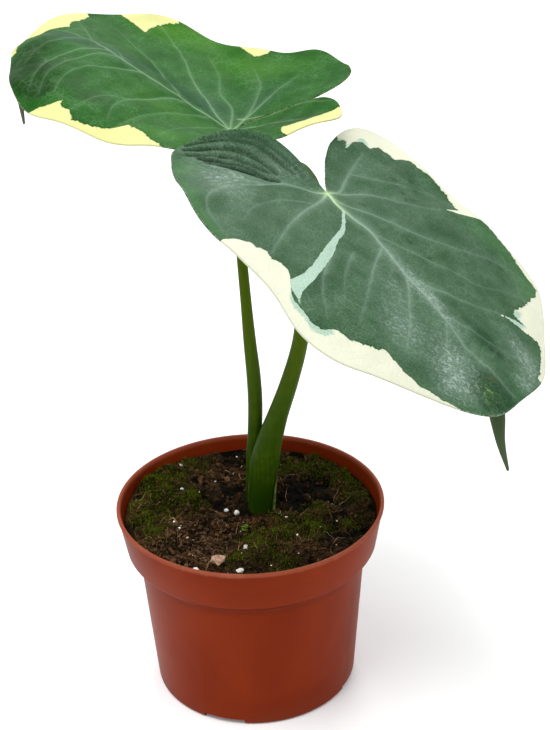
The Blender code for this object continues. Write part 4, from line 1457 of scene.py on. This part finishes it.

# %% [markdown]
# ### The blades' finish
#
# The green is laid down in thin coats, as a painter would: a base green, broad
# patches lighter and darker, a fine network of small veins, then the pale main
# veins, a painted sheen on the front blade, and last the cream with its jagged
# border. Patches of painted shade darken both blades, the front blade's folds get
# painted shade in their grooves and painted highlight on their ridges, and the
# back blade has painted shade in the creases beside its veins. The cream has faint
# green shadows near that border. Gloss is uneven.

# %% Coats that both blades share
class BladeFinish(Finish):
    """A blade's material, with what both blades need worked out once."""

    def __init__(self, name):
        super().__init__(name)
        forward, sideways = self.painted("forward"), self.painted("sideways")
        self.sheet = self.node("CombineXYZ", None, {0: forward, 1: sideways})
        self.fine = self.noise(130.0, 4.0, 0.65, where=self.sheet)
        self.broad = self.noise(9.0, 3.0, 0.5, where=self.sheet)
        self.hairs = self.strokes(24.0) * 0.7 + self.strokes(41.0) * 0.6
        teeth = self.noise(26.0, 5.0, 0.7, where=self.sheet) - 0.5
        self.edge = self.painted("cream") + teeth * 5.5
        self.cream = self.edge.fade(-0.12, 0.12)
        small = self.cells(26.0, "DISTANCE_TO_EDGE", where=self.wobbly())
        tiny = self.cells(70.0, "DISTANCE_TO_EDGE", where=self.wobbly())
        self.network = small.fade(0.0, 0.10, 1.0, 0.0) * 0.6 + tiny.fade(0.0, 0.12, 1.0, 0.0) * 0.35
        self.vein, self.halo = self.painted("vein"), self.painted("halo")
        self.rim = self.painted("inset").fade(0.20, 0.62, 1.0, 0.0)
        self.under = self.below()

    def strokes(self, scale):
        """Short curved hairs: thin contour lines of one noise, broken up by another."""
        line = (self.noise(scale, 2.0, 0.5, where=self.sheet, twist=0.7) - 0.5).math("ABSOLUTE")
        breaks = self.noise(scale * 2.0, 2.0, 0.6, where=self.sheet)
        return line.fade(0.0, 0.075, 1.0, 0.0) * breaks.fade(0.42, 0.60)

    def wobbly(self):
        """The flat places, shaken a little, so that cells lose their straight sides."""
        shake = self.node("TexNoise", None, {"Vector": self.sheet, "Scale": 22.0, "Detail": 3.0}, 1)
        small = self.node("VectorMath", {"operation": "SCALE"}, {0: shake, "Scale": 0.045})
        return self.node("VectorMath", {"operation": "ADD"}, {0: self.sheet, 1: small})

    def below(self):
        """1 where the surface faces down."""
        facing = self.node("NewGeometry", output=1)
        return self.node("SeparateXYZ", None, {0: facing}, output=2).fade(-0.12, 0.02, 1.0, 0.0)

    def dress(self, green, vein_tone, cream_tone, dark, fringe, gloss):
        colour = self.mix(green, vein_tone, (self.network * self.broad.fade(0.3, 0.7)) * 0.17)
        colour = self.mix(colour, vein_tone, self.halo * 0.20)
        colour = self.mix(colour, vein_tone, (self.vein * self.vein * 0.5 + self.vein * 0.5) * 0.85)
        colour = self.mix(colour, dark, self.edge.fade(-0.9, -0.1) * 0.5)
        colour = self.mix(colour, dark, self.rim * 0.6)
        colour = self.mix(colour, fringe, self.rim * self.fine.fade(0.45, 0.6) * 0.45)
        colour = self.mix(colour, cream_tone, self.cream)
        shadow = self.edge.fade(0.1, 1.6, 1.0, 0.0) * self.cream * self.fine.fade(0.48, 0.60)
        colour = self.mix(colour, fringe, shadow * 0.45)
        colour = self.mix(colour, fringe, self.cream * self.halo * 0.12)
        colour = self.mix(colour, (0.26, 0.29, 0.16), self.cream * self.rim * 0.30)
        return self.surface(
            Base_Color=colour, Roughness=gloss, Specular_IOR_Level=0.06,
            Normal=self.bump(self.fine * 0.5 + self.network * -0.5 + self.vein * -0.8, 0.00035, 0.6))


print("coats:", [name for name in vars(BladeFinish) if name[0] != "_"])

# %% Front blade: grey-green with painted sheen and mint
grey_green = BladeFinish("grey_green_blade")
base = grey_green.mix((0.019, 0.060, 0.022), (0.066, 0.134, 0.070),
                      (grey_green.broad * 0.35 + grey_green.fine * 0.85).fade(0.38, 0.82))
base = grey_green.mix(base, (0.020, 0.080, 0.020),
                      grey_green.painted("inset").fade(1.0, 9.0, 0.45, 0.0))
base = grey_green.mix(base, (0.050, 0.165, 0.040), grey_green.painted("verdant") * 0.55)
# Painted shade from the dark patches.
base = grey_green.mix(base, (0.012, 0.045, 0.014), grey_green.painted("dusk").fade(0.1, 1.0) * 0.85)
base = grey_green.mix(base, (0.16, 0.27, 0.05), grey_green.painted("blotch") * grey_green.hairs)
# Painted sheen, broken up by the hairs.
base = grey_green.mix(base, (0.29, 0.38, 0.33),
                      grey_green.painted("silver") * (grey_green.hairs * 0.75 + 0.20))
# Painted highlight on the ridges beside the folds.
base = grey_green.mix(base, (0.29, 0.38, 0.33),
                      grey_green.painted("ridge") * grey_green.fine.fade(0.3, 0.7) * 0.30)
# Painted shade in the folds' grooves.
base = grey_green.mix(base, (0.004, 0.017, 0.006), grey_green.painted("fold"))
base = grey_green.mix(base, (0.010, 0.025, 0.010), grey_green.painted("spots") * 0.7)
ragged = grey_green.noise(30.0, 3.0, where=grey_green.sheet) - 0.5
mint_edge = grey_green.painted("mint") + ragged * 1.3
mint_tone = grey_green.mix((0.30, 0.44, 0.34), (0.40, 0.53, 0.43), grey_green.fine.fade(0.35, 0.65))
base = grey_green.mix(base, mint_tone, mint_edge.fade(-0.15, 0.15))
base = grey_green.mix(base, (0.17, 0.28, 0.17), grey_green.under * 0.8)
base = grey_green.mix(base, (0.035, 0.060, 0.016), grey_green.painted("tail"))
vein_tone = grey_green.mix((0.30, 0.42, 0.33), (0.58, 0.80, 0.46), grey_green.painted("glow"))
minty = grey_green.painted("minty").fade(0.25, 0.6) * grey_green.edge.fade(2.2, 3.4, 1.0, 0.0)
cream_tone = grey_green.mix((0.63, 0.64, 0.50), mint_tone, minty)
grey_green.dress(base, vein_tone, cream_tone, (0.010, 0.035, 0.014), (0.34, 0.44, 0.28),
                 grey_green.fine * 0.18 + 0.38)
print("nodes in the front blade's finish:", len(grey_green.tree.nodes))

# %% Back blade: brighter green with yellow cream
leaf_green = BladeFinish("leaf_green_blade")
base = leaf_green.mix((0.006, 0.056, 0.004), (0.022, 0.126, 0.012),
                      (leaf_green.broad * 0.35 + leaf_green.fine * 0.85).fade(0.38, 0.82))
# On this blade the mark holds a darker teal tone.
base = leaf_green.mix(base, (0.012, 0.060, 0.026), leaf_green.painted("silver") * 0.8)
base = leaf_green.mix(base, (0.040, 0.165, 0.004), leaf_green.painted("warm") * 0.8)
# Painted shade from the dark patches.
base = leaf_green.mix(base, (0.004, 0.026, 0.001), leaf_green.painted("dusk").fade(0.1, 1.0) * 0.75)
# Painted shade in the creases beside the veins.
vein_crease_shade = (leaf_green.halo - leaf_green.vein).fade(0.15, 0.55)
base = leaf_green.mix(base, (0.005, 0.034, 0.004), vein_crease_shade * 0.55)
base = leaf_green.mix(base, (0.16, 0.28, 0.12), leaf_green.under * 0.8)
base = leaf_green.mix(base, (0.50, 0.58, 0.36), leaf_green.painted("crease") * 0.8)
base = leaf_green.mix(base, (0.075, 0.075, 0.055), leaf_green.painted("tail"))
vein_tone = leaf_green.mix((0.29, 0.50, 0.28), (0.42, 0.60, 0.34), leaf_green.painted("glow"))
leaf_green.dress(base, vein_tone, (0.64, 0.63, 0.27), (0.005, 0.026, 0.002), (0.30, 0.42, 0.14),
                 leaf_green.fine * 0.18 + 0.40)

for leaf, finish, node, name in ((blade_front, grey_green, "leaf_front", "front_blade"),
                                 (blade_back, leaf_green, "leaf_back", "back_blade")):
    leaf.data.materials.clear()
    leaf.data.materials.append(finish.material)
    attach(leaf, "root")
    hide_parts(node)
print("blades painted")

# %% [markdown]
# ## Finish
#
# The box of the dressed plant is set beside the box of the solids, so that a piece
# that has grown or shrunk shows up at once.

# %% Sizes, and the end
dressed_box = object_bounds()
sizes = {"cad": [list(corner) for corner in solid_box],
         "visual": [list(corner) for corner in dressed_box]}
for key, (low, high) in sizes.items():
    print(key, [round((b - a) * 1000, 1) for a, b in zip(low, high)], "mm")
